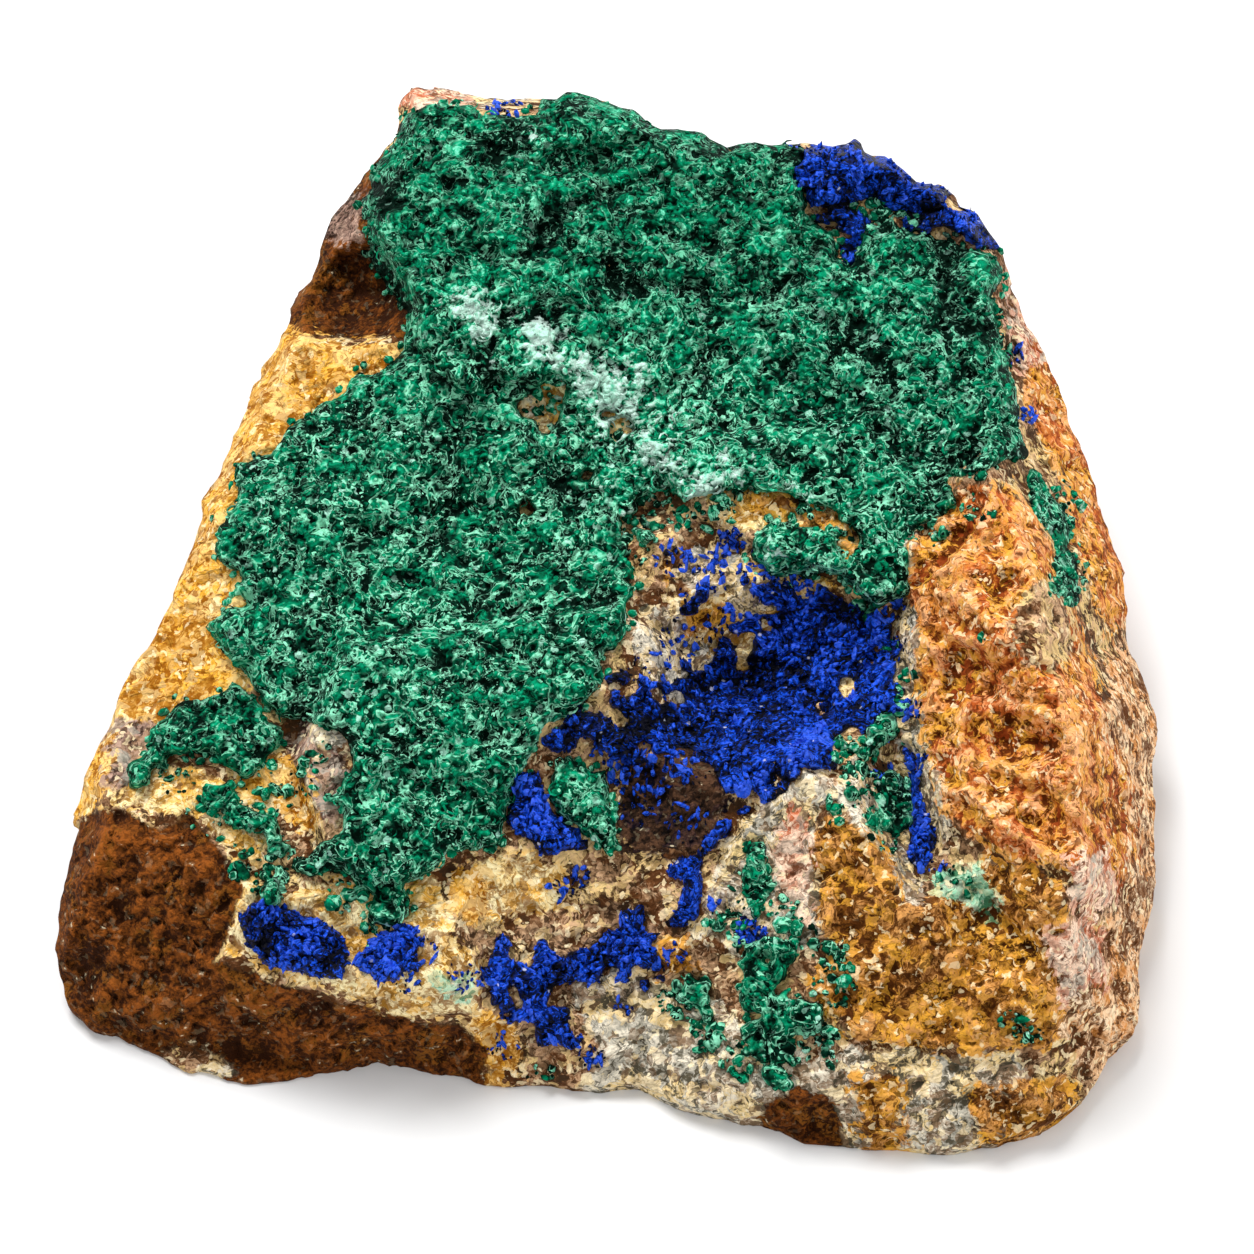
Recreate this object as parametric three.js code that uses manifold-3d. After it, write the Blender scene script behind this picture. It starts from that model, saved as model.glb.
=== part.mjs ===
// Azurite and malachite on limonite: a cabinet specimen broken from the weathered cap of a copper deposit.
// Millimetres, +Z up. It rests on a flat base, and its display face slopes down towards -Y.
//
// The whole visible surface is a relief over the display face. A point has face coordinates: u to the right
// and v to the back on the face, and h, its height over the face towards VIEWPOINT, above the front. Ledges
// that drop towards the front therefore overhang, as the broken ones do.
import * as THREE from "three";
import Module from "manifold-3d";
import { mergeVertices } from "three/addons/utils/BufferGeometryUtils.js";

const wasm = await Module();
wasm.setup();

// Driving dimensions
const FACE_HEIGHT = 23.5; // the display face above the base, at v = 0
const FACE_RISE = 0.24; // how much the display face climbs for each millimetre of v
const VIEWPOINT = new THREE.Vector3(2, -276.9, 343.4); // 430 mm off, 50 degrees above the front
const CENTRE = [0.87, 0.48]; // middle of the specimen's box before it is moved to the origin
const ROCK_STEP = 2.8; // size of a facet on the rock and on the large crusts
const ROCK_WIDTH = 93;
const ROCK_DEPTH = 90;
const PATCH_STEP = 1.8; // size of a facet on a small patch
const CLEARANCE = 0.3; // between a crust and the rock it grew on
const AIR_HEIGHT = 20; // how far the space over the rock reaches up
const RIM_FLOOR = 0.5; // lowest that the relief comes above the base
const UNDERCUT = 0.14; // share by which the base is narrower than the rim, under the highest wall
const UNDERCUT_POWER = 1.4; // how much of the narrowing comes low on the wall
const WALL_HEIGHT = 34; // highest wall, at the back
const WALL_RINGS = [0.2, 0.45, 0.75, 1]; // shares of the way down from the rim to the base
const FRACTURE = 0.04; // share by which the highest wall's fractures move it in and out
const FACET_ROUNDING = 0.6;
const RIM_ROUNDING = 0.8;
const FULL_CRAG = 5; // rise of the crag from which its face is rough at full strength
const RIDGE_POWER = 1.2; // how sharp a ridge's crest is
const MOUND_POWER = 1.3; // how softly a mound's foot meets the ground
const EDGE_FALL = 1.6; // how steeply a crust's surface goes under the rock outside its outline

// Waves in the surfaces: strength, size of the largest wave, octaves and seed.
const ROCK_WAVES = { strength: 0.8, size: 14, octaves: 3, seed: 3 };
const CRAG_WAVES = { strength: 1.1, size: 7, octaves: 2, seed: 23 };
const FACET_WAVES = { strength: 0.5, size: 6, octaves: 2, seed: 11 };
const WALL_WAVES = { strength: 0.7, size: 7, octaves: 2, seed: 17 };
const FRACTURE_WAVES = { strength: 1, size: 11, octaves: 2, seed: 29 };
const CRUST_WAVES = { strength: 1, size: 5, octaves: 2, seed: 41 };

// Crystals: their proportions, how far they lean in radians, and how much of one is sunk in its crust.
const CRYSTAL_FORM = [0.62, 0.85, 1];
const CRYSTAL_LEAN = 0.55;
const CRYSTAL_SINK = 0.2;
const CRYSTAL_SIZES = [0.8, 1.4]; // smallest and largest, as shares of the crust's crystal size
const CRYSTAL_MARGIN = 0.7; // room that a crystal keeps from the crust's edge, as a share of its size
const CRYSTAL_SPREAD = [0.7549, 0.5698]; // shares of the outline's box between one crystal and the next

// The specimen's outline from VIEWPOINT, one line for each side.
const FRONT_SIDE = [
  [-46.4, -41], [-44.3, -43.9], [-40, -46], [-35.4, -48], [-30.5, -49], [-25.5, -48.6], [-19.5, -47.1],
  [-14, -48.2], [-8, -49.4], [0, -49.2], [4, -49.4], [8.5, -51.3], [13.5, -52.6], [17, -54.4], [22.5, -54.8],
  [28, -55], [33, -54.1], [38, -52.5], [41.2, -49.9],
];
const RIGHT_SIDE = [
  [41.2, -49.9], [43.4, -46.8], [45.6, -43.2], [46.4, -37.5], [48, -31], [47.9, -26], [48.5, -15],
  [47.3, -11.2], [46.6, -9.2], [46.6, -2.8], [44.7, 5.4], [42.7, 12.4], [40.3, 20], [38, 26.4], [36.4, 31.4],
];
const BACK_SIDE = [
  [36.4, 31.4], [34.3, 35.2], [31.4, 37.6], [28.4, 39.8], [24, 41.8], [20, 43], [14.7, 42.3], [11.5, 41.5],
  [9, 43.4], [5.8, 43.8], [1.4, 46.2], [-2.1, 47.3], [-7.5, 47.8], [-12, 47.8], [-19, 48.4],
];
const LEFT_SIDE = [
  [-19, 48.4], [-20.4, 42.4], [-24.6, 36.4], [-26.8, 29.5], [-29.9, 21.3], [-33.3, 13.1], [-36.2, 5],
  [-38.6, -4.4], [-42.9, -13.4], [-45.4, -21.7], [-46.7, -31.4], [-47.4, -37], [-46.4, -41],
];

// Height of the rim over the base and steepness of the broken wall that climbs inwards from it, at stations
// round the outline: [u, v, height, slope].
const WALL_STATIONS = [
  [-46.4, -41, 2.4, 1.5], [-40, -46, 1.2, 1.25], [-30.5, -49, 0.8, 1.55], [-19.5, -47.1, 0.8, 2],
  [-8, -49.4, 0.8, 1.5], [0, -49.2, 1.4, 0.8], [8.5, -51.3, 2.6, 0.8], [17, -54.4, 3, 0.85],
  [28, -55, 2, 0.9], [38, -52.5, 2.6, 1.1], [45.6, -43.2, 3, 2], [48, -31, 5, 3.4], [48.5, -15, 8, 3.6],
  [44.7, 5.4, 15, 2.4], [40.3, 20, 22, 1.8], [36.4, 31.4, 28, 3], [24, 41.8, 31, 4], [5.8, 43.8, 33, 3],
  [-19, 48.4, 34, 3], [-26.8, 29.5, 25, 2], [-33.3, 13.1, 24, 2.2], [-42.9, -13.4, 18.5, 2.4],
  [-46.7, -31.4, 10, 2.6],
];

// Large broken facets that cut the relief, each the plane through three points [u, v, h].
const FACETS = [
  { name: "limonite corner", points: [[-46, -25.5, 0.2], [-33, -31.5, 0.4], [-39, -35.5, -4.4]] },
  { name: "limonite wall", points: [[-33.5, -38, -1.4], [-11, -44, -4.6], [-24, -48.8, -15.2]] },
];

// Benches: ground that stands higher inside an outline. A bench loses its height between two points of fade.
const BENCHES = [
  {
    name: "upper terrace", rise: 4, edge: 1.6, fade: [[-11, 22], [5, 11]],
    outline: [
      [-18.6, 52], [-20.4, 43], [-22.6, 36], [-21.4, 30.6], [-18.2, 25], [-18, 21], [-14.8, 17], [-12, 15.2],
      [-9.8, 17.2], [-5, 16], [2, 8], [14, 8.5], [40, 8], [42, 20], [34, 46], [0, 52],
    ],
  },
  {
    name: "plateau", rise: 3.4, edge: 1.6, fade: [[3, -12], [9, -14]],
    outline: [
      [-28, -20], [-25, -29], [-20, -32], [-15, -30.6], [-9.5, -28.2], [-3, -29.2], [3, -28.8], [7.4, -27.8],
      [10, -25.6], [11, -20], [10, -12], [2, -4], [-24, -8],
    ],
  },
  {
    name: "clay shelf edge", rise: 1.2, edge: 1.2, fade: [[-12, -42], [-7, -42]],
    outline: [
      [-34, -38], [-30, -40.4], [-24, -42], [-16, -43.4], [-8, -44.2], [-8, -40], [-22, -37], [-33, -34],
    ],
  },
  {
    name: "green shelf", rise: 2, edge: 1.6, fade: [[2, 0], [9, 3]],
    outline: [[2, 12], [8, 3], [15, -0.6], [21, -2.4], [24.5, -6], [28, -4], [30, 6], [24, 14]],
    fadesIn: true,
  },
];

// Banks climb from a foot line [u, v] to a crest line [u, v, rise], and fall away behind it.
const BANKS = [
  {
    name: "crag", power: 0.62, fall: 5,
    foot: [
      [32, 9.6], [28.8, 4.6], [26, 1.2], [26.7, -4], [26, -8], [27.3, -13], [27.4, -19], [28.6, -26],
      [32, -31.5], [37, -37], [40, -42],
    ],
    crest: [
      [32.4, 7.6, 6], [35.8, 8, 9], [38.2, 4.2, 10.5], [39.6, -1, 10], [40, -6, 9], [41, -11, 9.5],
      [42.4, -17, 9.5], [43, -26, 8.5], [43, -36, 7], [42.6, -41, 4], [41, -45, 1],
    ],
  },
];

// Ridges: crest points with their rise [u, v, rise], and the half width at the foot.
const RIDGES = [
  {
    name: "hill crest", width: 8,
    crest: [[16, -21, 5.6], [19, -24.5, 6.6], [22, -28.5, 5.6], [26, -34.5, 3]],
  },
  {
    name: "hill shoulder", width: 6.5,
    crest: [[16, -21, 5.6], [12.5, -25.5, 4.6], [9.6, -30.5, 3], [7, -36, 1.8]],
  },
  { name: "crag spur", width: 4.5, crest: [[30, 3, 1.4], [32.6, -4, 2.6], [35, -9, 2.2], [38, -12, 0.6]] },
  { name: "crag rib", width: 4, crest: [[31, -22, 1.6], [35, -26, 2.4], [39, -30, 1.6], [41, -37, 1]] },
  { name: "brown ridge", width: 3.6, crest: [[9.5, 4.6, 1.4], [5, 1, 2.4], [2.6, -4, 1.6]] },
  {
    name: "rim lip", width: 3,
    crest: [[-40, -26, 1], [-35, -29.5, 1.4], [-32.4, -33, 1.6], [-33.4, -36.6, 1]],
  },
];

// Round mounds, and hollows where rise is negative: centre, radii, turn in degrees, rise.
const MOUNDS = [
  { name: "hill foot", at: [18, -37], radii: [15, 13], turn: 0, rise: 2.6 },
  { name: "knob", at: [5.8, -23.4], radii: [5, 5.6], turn: 20, rise: 3.4 },
  { name: "blue hollow", at: [14, -11.5], radii: [13.5, 9], turn: 8, rise: -6.4 },
  { name: "hollow floor", at: [12, -12.4], radii: [5, 2.8], turn: 4, rise: -2.6 },
  { name: "valley", at: [26, -25], radii: [3.6, 10], turn: 8, rise: -3.4 },
  { name: "vein gully", at: [3, -33], radii: [8, 3.4], turn: 40, rise: -2 },
  { name: "brown scoop", at: [-23.8, 26.6], radii: [6.6, 6.6], turn: -18, rise: -7.5 },
  { name: "ochre shelf", at: [-29, 17], radii: [8, 6], turn: 20, rise: -2 },
  { name: "ochre border", at: [-41, -10], radii: [7.5, 17], turn: -16, rise: -2.4 },
  { name: "clay shelf", at: [-24, -37.6], radii: [13, 4.6], turn: -12, rise: -2 },
  { name: "crag pit", at: [36.2, -17.6], radii: [5.6, 3.2], turn: -14, rise: -4.4 },
  { name: "crag hollow", at: [33, -12], radii: [4.4, 3.6], turn: 30, rise: -2 },
  { name: "amber hollow", at: [33, -36], radii: [6.5, 5], turn: -35, rise: -1.8 },
  { name: "right brow", at: [27, 23], radii: [12, 9], turn: 0, rise: 2 },
  { name: "left brow", at: [-8, 30], radii: [12, 9], turn: 30, rise: 1.4 },
  { name: "back gully", at: [-2, 40.5], radii: [9, 2.8], turn: 12, rise: -2.6 },
  { name: "plateau dip", at: [-12, 3], radii: [14, 7], turn: 20, rise: -1.6 },
  { name: "plateau swell", at: [-18, -12], radii: [12, 9], turn: 0, rise: 1.6 },
];

// A number from 0 to 1 that belongs to a whole-number grid point.
function hash(i, j, seed) {
  const s = Math.sin(i * 127.1 + j * 311.7 + seed * 74.7) * 43758.5453;
  return s - Math.floor(s);
}

// Smooth noise from -1 to 1, one wave to a unit.
function noise(x, y, seed) {
  const i = Math.floor(x);
  const j = Math.floor(y);
  const a = THREE.MathUtils.smoothstep(x - i, 0, 1);
  const b = THREE.MathUtils.smoothstep(y - j, 0, 1);
  const low = THREE.MathUtils.lerp(hash(i, j, seed), hash(i + 1, j, seed), a);
  const high = THREE.MathUtils.lerp(hash(i, j + 1, seed), hash(i + 1, j + 1, seed), a);
  return 2 * THREE.MathUtils.lerp(low, high, b) - 1;
}

// Waves in octaves, each half the size and half the strength of the last.
function waves({ strength, size, octaves, seed }, u, v) {
  let sum = 0;
  for (let k = 0; k < octaves; k++) {
    const scale = 2 ** k / size;
    sum += noise(u * scale, v * scale, seed + k) / 2 ** k;
  }
  return strength * sum;
}

// The nearest place on each segment of a line: its distance, the segment's number and the share along it.
function placesOn(line, u, v, closed) {
  const count = closed ? line.length : line.length - 1;
  return Array.from({ length: count }, (_, index) => {
    const [au, av] = line[index];
    const [bu, bv] = line[(index + 1) % line.length];
    const [du, dv] = [bu - au, bv - av];
    const share = THREE.MathUtils.clamp(((u - au) * du + (v - av) * dv) / (du * du + dv * dv), 0, 1);
    return { distance: Math.hypot(u - au - share * du, v - av - share * dv), index, share };
  });
}

function nearest(line, u, v, closed) {
  const places = placesOn(line, u, v, closed);
  return places.reduce((best, other) => (other.distance < best.distance ? other : best));
}

// A value kept at the points of a line, read at a place on it.
function valueAt(line, key, { index, share }) {
  return THREE.MathUtils.lerp(line[index][key], line[(index + 1) % line.length][key], share);
}

function isInside(outline, u, v) {
  let inside = false;
  outline.forEach(([au, av], i) => {
    const [bu, bv] = outline[(i + 1) % outline.length];
    if (av > v !== bv > v && u < ((bu - au) * (v - av)) / (bv - av) + au) inside = !inside;
  });
  return inside;
}

// How far a point lies inside an outline; negative outside.
function depthInside(outline, u, v) {
  const { distance } = nearest(outline, u, v, true);
  return isInside(outline, u, v) ? distance : -distance;
}

// The lower of two heights, rounded where they meet.
function roundedMin(a, b, radius) {
  const mix = THREE.MathUtils.clamp(0.5 + (b - a) / (2 * radius), 0, 1);
  return b + (a - b) * mix - radius * mix * (1 - mix);
}

function benchHeight({ outline, rise, edge, fade, fadesIn }, u, v) {
  const inside = THREE.MathUtils.smoothstep(depthInside(outline, u, v) / edge, 0, 1);
  const [[fu, fv], [tu, tv]] = fade;
  const along = ((u - fu) * (tu - fu) + (v - fv) * (tv - fv)) / ((tu - fu) ** 2 + (tv - fv) ** 2);
  const faded = THREE.MathUtils.smoothstep(along, 0, 1);
  return rise * inside * (fadesIn ? faded : 1 - faded);
}

function bankHeight({ foot, crest, power, fall }, u, v) {
  const low = nearest(foot, u, v, false).distance;
  const top = nearest(crest, u, v, false);
  const rise = valueAt(crest, 2, top);
  const slope = [...foot, ...[...crest].reverse()];
  if (isInside(slope, u, v)) return rise * (low / (low + top.distance)) ** power;
  return top.distance < low ? rise * Math.max(0, 1 - top.distance / fall) : 0;
}

function ridgeHeight({ crest, width }, u, v) {
  const top = nearest(crest, u, v, false);
  return valueAt(crest, 2, top) * Math.max(0, 1 - top.distance / width) ** RIDGE_POWER;
}

function moundHeight({ at, radii, turn, rise }, u, v) {
  const angle = THREE.MathUtils.degToRad(turn);
  const [du, dv] = [u - at[0], v - at[1]];
  const a = (du * Math.cos(angle) + dv * Math.sin(angle)) / radii[0];
  const b = (dv * Math.cos(angle) - du * Math.sin(angle)) / radii[1];
  return rise * Math.max(0, 1 - a * a - b * b) ** MOUND_POWER;
}

function facetHeight([a, b, c], u, v) {
  const across = (b[0] - a[0]) * (c[1] - a[1]) - (c[0] - a[0]) * (b[1] - a[1]);
  const s = ((u - a[0]) * (c[1] - a[1]) - (c[0] - a[0]) * (v - a[1])) / across;
  const t = ((b[0] - a[0]) * (v - a[1]) - (u - a[0]) * (b[1] - a[1])) / across;
  return a[2] + s * (b[2] - a[2]) + t * (c[2] - a[2]);
}

const OUTLINE = [...FRONT_SIDE, ...RIGHT_SIDE.slice(1), ...BACK_SIDE.slice(1), ...LEFT_SIDE.slice(1, -1)];

// The face's point at u and v, and the direction from there to VIEWPOINT.
function facePoint(u, v) {
  const point = new THREE.Vector3(u, v, FACE_HEIGHT + FACE_RISE * v);
  return { point, up: VIEWPOINT.clone().sub(point).normalize() };
}

// Height in face coordinates of a level over the base.
function heightOfLevel(level, u, v) {
  const { point, up } = facePoint(u, v);
  return (level - point.z) / up.z;
}

// The outline with the height of the rim and the steepness of the wall at each of its points.
const RIM = OUTLINE.map(([u, v]) => {
  const place = nearest(WALL_STATIONS, u, v, true);
  return [u, v, valueAt(WALL_STATIONS, 2, place), valueAt(WALL_STATIONS, 3, place)];
});

// The lowest of the walls that climb inwards from the rim.
function wallHeight(u, v) {
  const heights = placesOn(RIM, u, v, true).map(
    (place) => heightOfLevel(valueAt(RIM, 2, place), u, v) + valueAt(RIM, 3, place) * place.distance,
  );
  return Math.min(...heights);
}

// Height of the bare rock: the raised and hollowed forms, cut by the facets and by the walls.
function ground(u, v) {
  let h = waves(ROCK_WAVES, u, v);
  for (const bench of BENCHES) h += benchHeight(bench, u, v);
  for (const bank of BANKS) {
    const rise = bankHeight(bank, u, v);
    h += rise + Math.min(rise / FULL_CRAG, 1) * waves(CRAG_WAVES, u, v);
  }
  h += Math.max(...RIDGES.map((ridge) => ridgeHeight(ridge, u, v)));
  for (const mound of MOUNDS) h += moundHeight(mound, u, v);
  for (const { points } of FACETS)
    h = roundedMin(h, facetHeight(points, u, v) + waves(FACET_WAVES, u, v), FACET_ROUNDING);
  h = roundedMin(h, wallHeight(u, v) + waves(WALL_WAVES, u, v), RIM_ROUNDING);
  return Math.max(h, heightOfLevel(RIM_FLOOR, u, v));
}

// Face coordinates to the specimen's own frame.
function place(u, v, h) {
  const { point, up } = facePoint(u, v);
  const { x, y, z } = point.addScaledVector(up, h);
  return [x - CENTRE[0], y - CENTRE[1], z];
}

// Points at equal distances along a line.
function evenly(line, count) {
  const path = new THREE.CurvePath();
  for (let i = 0; i + 1 < line.length; i++)
    path.add(new THREE.LineCurve(new THREE.Vector2(...line[i]), new THREE.Vector2(...line[i + 1])));
  return Array.from({ length: count + 1 }, (_, k) => path.getPoint(k / count).toArray());
}

// A sheet of face points [u, v], in columns and rows, stretched between the four sides.
function stretchedSheet(step) {
  const columns = Math.round(ROCK_WIDTH / step);
  const rows = Math.round(ROCK_DEPTH / step);
  const front = evenly(FRONT_SIDE, columns);
  const right = evenly(RIGHT_SIDE, rows);
  const back = evenly(BACK_SIDE, columns).reverse();
  const left = evenly(LEFT_SIDE, rows).reverse();
  const at = (i, j, k) => {
    const [a, b] = [i / columns, j / rows];
    const between = (1 - b) * front[i][k] + b * back[i][k] + (1 - a) * left[j][k] + a * right[j][k];
    const low = (1 - a) * front[0][k] + a * front[columns][k];
    const high = (1 - a) * back[0][k] + a * back[columns][k];
    return between - (1 - b) * low - b * high;
  };
  const points = [];
  for (let j = 0; j <= rows; j++)
    for (let i = 0; i <= columns; i++) points.push([at(i, j, 0), at(i, j, 1)]);
  return { points, columns, rows };
}

// Triangles of a grid of vertices, with the diagonals turned every other way.
function gridTriangles(columns, rows) {
  const triangles = [];
  for (let j = 0; j < rows; j++)
    for (let i = 0; i < columns; i++) {
      const p = j * (columns + 1) + i;
      const [q, s] = [p + 1, p + columns + 1];
      const r = s + 1;
      triangles.push(...((i + j) % 2 ? [p, q, r, p, r, s] : [p, q, s, q, r, s]));
    }
  return triangles;
}

// Vertex numbers round the border of a grid, from its first corner.
function borderOf(columns, rows) {
  const border = [];
  const id = (i, j) => j * (columns + 1) + i;
  for (let i = 0; i < columns; i++) border.push(id(i, 0));
  for (let j = 0; j < rows; j++) border.push(id(columns, j));
  for (let i = columns; i > 0; i--) border.push(id(i, rows));
  for (let j = rows; j > 0; j--) border.push(id(0, j));
  return border;
}

// Triangles of the band between two rings of vertices, the second below the first.
function bandTriangles(upper, lower) {
  return upper.flatMap((top, n) => {
    const m = (n + 1) % upper.length;
    return [upper[m], top, lower[n], upper[m], lower[n], lower[m]];
  });
}

function geometryOf(vertices, triangles) {
  const geometry = new THREE.BufferGeometry();
  geometry.setAttribute("position", new THREE.Float32BufferAttribute(vertices.flat(), 3));
  geometry.setIndex(triangles);
  return geometry;
}

function solidOf(geometry) {
  geometry.deleteAttribute("normal");
  geometry.deleteAttribute("uv");
  const merged = mergeVertices(geometry, 1e-4);
  return new wasm.Manifold(new wasm.Mesh({
    numProp: 3,
    vertProperties: merged.attributes.position.array,
    triVerts: new Uint32Array(merged.index.array),
  }));
}

// A closed solid between two heights over a grid of face points.
function sheetSolid({ points, columns, rows }, low, high) {
  const tops = points.map(([u, v]) => place(u, v, high(u, v)));
  const bottoms = points.map(([u, v]) => place(u, v, low(u, v)));
  const triangles = gridTriangles(columns, rows);
  const under = [];
  for (let k = 0; k < triangles.length; k += 3)
    under.push(triangles[k] + tops.length, triangles[k + 2] + tops.length, triangles[k + 1] + tops.length);
  const border = borderOf(columns, rows);
  const side = bandTriangles(border, border.map((n) => n + tops.length));
  return solidOf(geometryOf([...tops, ...bottoms], [...triangles, ...under, ...side]));
}

// The rock: the relief, walls down to the base and the flat base.
function rockSolid({ points, columns, rows }) {
  const vertices = points.map(([u, v]) => place(u, v, ground(u, v)));
  const triangles = gridTriangles(columns, rows);
  const rings = [borderOf(columns, rows)];
  const rim = rings[0].map((n) => vertices[n]);
  for (const share of WALL_RINGS) {
    rings.push(rim.map(([x, y, z]) => {
      const depth = z / WALL_HEIGHT;
      const inset = UNDERCUT * depth * share ** UNDERCUT_POWER;
      const fracture = FRACTURE * depth * waves(FRACTURE_WAVES, x + y, y - x + 2 * z * (1 - share));
      const scale = 1 - inset + fracture;
      return vertices.push([x * scale, y * scale, z * (1 - share)]) - 1;
    }));
  }
  for (let k = 0; k + 1 < rings.length; k++) triangles.push(...bandTriangles(rings[k], rings[k + 1]));
  const foot = rings[rings.length - 1];
  const shape = foot.map((n) => new THREE.Vector2(vertices[n][0], vertices[n][1]));
  for (const [a, b, c] of THREE.ShapeUtils.triangulateShape(shape, []))
    triangles.push(foot[c], foot[b], foot[a]);
  return solidOf(geometryOf(vertices, triangles));
}

// Crusts: an outline in face coordinates, the thickness at the middle, the width of the rounded edge and the
// height of the lumps. Crystals are [count, size], and they stand on the crust.
const CRUSTS = [
  {
    name: "malachite_main_crust", colour: 0x1b8a62, step: ROCK_STEP, thickness: 2.2, edge: 2.6, lumps: 0.8,
    outline: [
      [-16.6, 47.4], [-19, 45], [-21.2, 40], [-22.6, 34.6], [-21.2, 30.2], [-18, 24.8], [-18, 21.2],
      [-20.5, 18.6], [-24, 15.3], [-28.9, 12.9], [-32.8, 9.2], [-33.1, 4.8], [-35.2, 1], [-33, -2.6],
      [-34.8, -6.6], [-31.3, -13], [-27.6, -16], [-24, -17.8], [-24.6, -22.8], [-25.8, -28.2], [-30, -30],
      [-30.8, -32], [-28.6, -33.2], [-25.6, -31.2], [-22, -30.8], [-20, -34.2], [-18.4, -34.6],
      [-17.2, -31.4], [-11, -28.6], [-8.6, -25.4], [-7.8, -21.2], [-6.4, -17.2], [-2, -14], [0, -9.6],
      [2.2, -5], [3.2, -0.2],
      [6, 1.4], [9, 5.4], [14, 6.6], [17, 5], [15.2, 2], [15.4, -1.4], [20, -2], [23.4, -5.4], [25.4, -4],
      [25.6, 1.2], [28.4, 4.8], [31.4, 9.6], [37.4, 10.4], [37, 18], [35.8, 24], [35, 30], [31, 31.6],
      [27.4, 33.4], [24.4, 32.4], [22.7, 29.4], [20.2, 32.2], [18, 35.4], [16.8, 40.2], [14.6, 41.2],
      [11.4, 40.7], [8.8, 42.4], [5.4, 42.9], [1.2, 45.2], [-2.2, 46.4], [-5.8, 46], [-11, 45.2], [-12.4, 47],
    ],
  },
  {
    name: "malachite_left_patch", colour: 0x1b8a62, step: PATCH_STEP, thickness: 1.4, edge: 1.8, lumps: 0.4,
    outline: [
      [-38.6, -14.8], [-35.5, -14.1], [-32.6, -12.8], [-30.6, -15], [-28.2, -17.2], [-29.4, -19.6],
      [-32.2, -20.8], [-36, -19.4], [-40.4, -22], [-41.3, -21.6], [-40.4, -17.4],
    ],
  },
  {
    name: "malachite_rim_sprig", colour: 0x1b8a62, step: PATCH_STEP, thickness: 1.2, edge: 1.4, lumps: 0.3,
    outline: [
      [-35.6, -22.6], [-33, -22], [-30.6, -24.2], [-27.2, -27.2], [-28.4, -28.4], [-30.7, -27],
      [-32.4, -28.8], [-34.4, -27],
    ],
  },
  {
    name: "malachite_tongue", colour: 0x2a9a70, step: PATCH_STEP, thickness: 1.4, edge: 1.4, lumps: 0.4,
    outline: [
      [-4.6, -22.6], [-3.4, -19.6], [-0.2, -21], [1.6, -25.4], [0.6, -28.2], [-1.4, -26.4], [-3.6, -24.6],
    ],
  },
  {
    name: "malachite_streak", colour: 0x1b8a62, step: PATCH_STEP, thickness: 1.1, edge: 1, lumps: 0.3,
    outline: [[12.6, -27.8], [14.5, -27.6], [14.5, -32], [13.3, -34.6], [12, -32.2]],
  },
  {
    name: "malachite_front_patch", colour: 0x23926a, step: PATCH_STEP, thickness: 1.3, edge: 1.5, lumps: 0.5,
    outline: [
      [5.2, -42.2], [7.4, -39], [10, -40.6], [12, -37.8], [16.2, -36.8], [17, -40.4], [20.6, -41],
      [20.2, -45], [17.2, -46.2], [16.4, -49.2], [14, -49.6], [13.4, -47.2], [9.6, -46],
    ],
  },
  {
    name: "malachite_valley_strip", colour: 0x2a9a70, step: PATCH_STEP, thickness: 1.2, edge: 1, lumps: 0.3,
    outline: [[24, -26], [23, -21.6], [23.6, -17.2], [25.2, -16.4], [26, -21], [26.6, -24.4], [25.6, -26.4]],
  },
  {
    name: "malachite_crag_strip", colour: 0x1b8a62, step: PATCH_STEP, thickness: 1.3, edge: 1.2, lumps: 0.3,
    outline: [
      [39.3, 8.4], [41.2, 6.4], [42.2, 2.6], [42.8, -1], [42.6, -4.6], [41.2, -4.2], [40.6, 0.2],
      [38.9, 4.6],
    ],
  },
  {
    name: "azurite_hollow_crust", colour: 0x0a1c78, step: ROCK_STEP, thickness: 1.5, edge: 2, lumps: 0.6,
    crystals: [20, 1.4],
    outline: [
      [-5.4, -17.6], [-1.2, -15], [1, -10.4], [5.6, -8.4], [9.6, -5.6], [10.4, -1], [14.4, -2.4], [20, -3.2],
      [23.2, -7], [25.2, -6.6], [25.4, -13], [24.6, -15.4], [22.2, -17], [21.8, -20.6], [19.2, -19.6],
      [15, -22.4], [11.6, -24.6], [9.6, -23], [11, -18.6], [6, -17.6], [0.4, -18.6],
    ],
  },
  {
    name: "azurite_back_cluster", colour: 0x0d2390, step: PATCH_STEP, thickness: 2.2, edge: 1.8, lumps: 0.6,
    crystals: [14, 2.1],
    outline: [
      [17.6, 41.6], [20.1, 42.8], [23.4, 41.4], [27.6, 39.6], [30.8, 37.4], [33.6, 35.2], [35.6, 31.6],
      [32, 32.2], [27.5, 34.3], [24.2, 33.4], [22.6, 30.4], [20.8, 33], [18.8, 36.2],
    ],
  },
  {
    name: "azurite_rim_pad", colour: 0x0d2390, step: PATCH_STEP, thickness: 1.8, edge: 1.1, lumps: 0.4,
    crystals: [6, 1.3],
    outline: [
      [-31.4, -35.4], [-30.4, -33.9], [-27.9, -34], [-24.1, -35.2], [-22.4, -37], [-22.8, -39.6],
      [-26.6, -39],
    ],
  },
  {
    name: "azurite_rim_cluster", colour: 0x0d2390, step: PATCH_STEP, thickness: 1.4, edge: 1.1, lumps: 0.4,
    crystals: [7, 1.1],
    outline: [[-21.4, -38.8], [-19.4, -36], [-16.4, -35.6], [-16, -39], [-17.8, -40.4], [-20.2, -39.8]],
  },
  {
    name: "azurite_front_spray", colour: 0x1536b4, step: PATCH_STEP, thickness: 1.2, edge: 1.3, lumps: 0.4,
    crystals: [12, 1.1],
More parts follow.
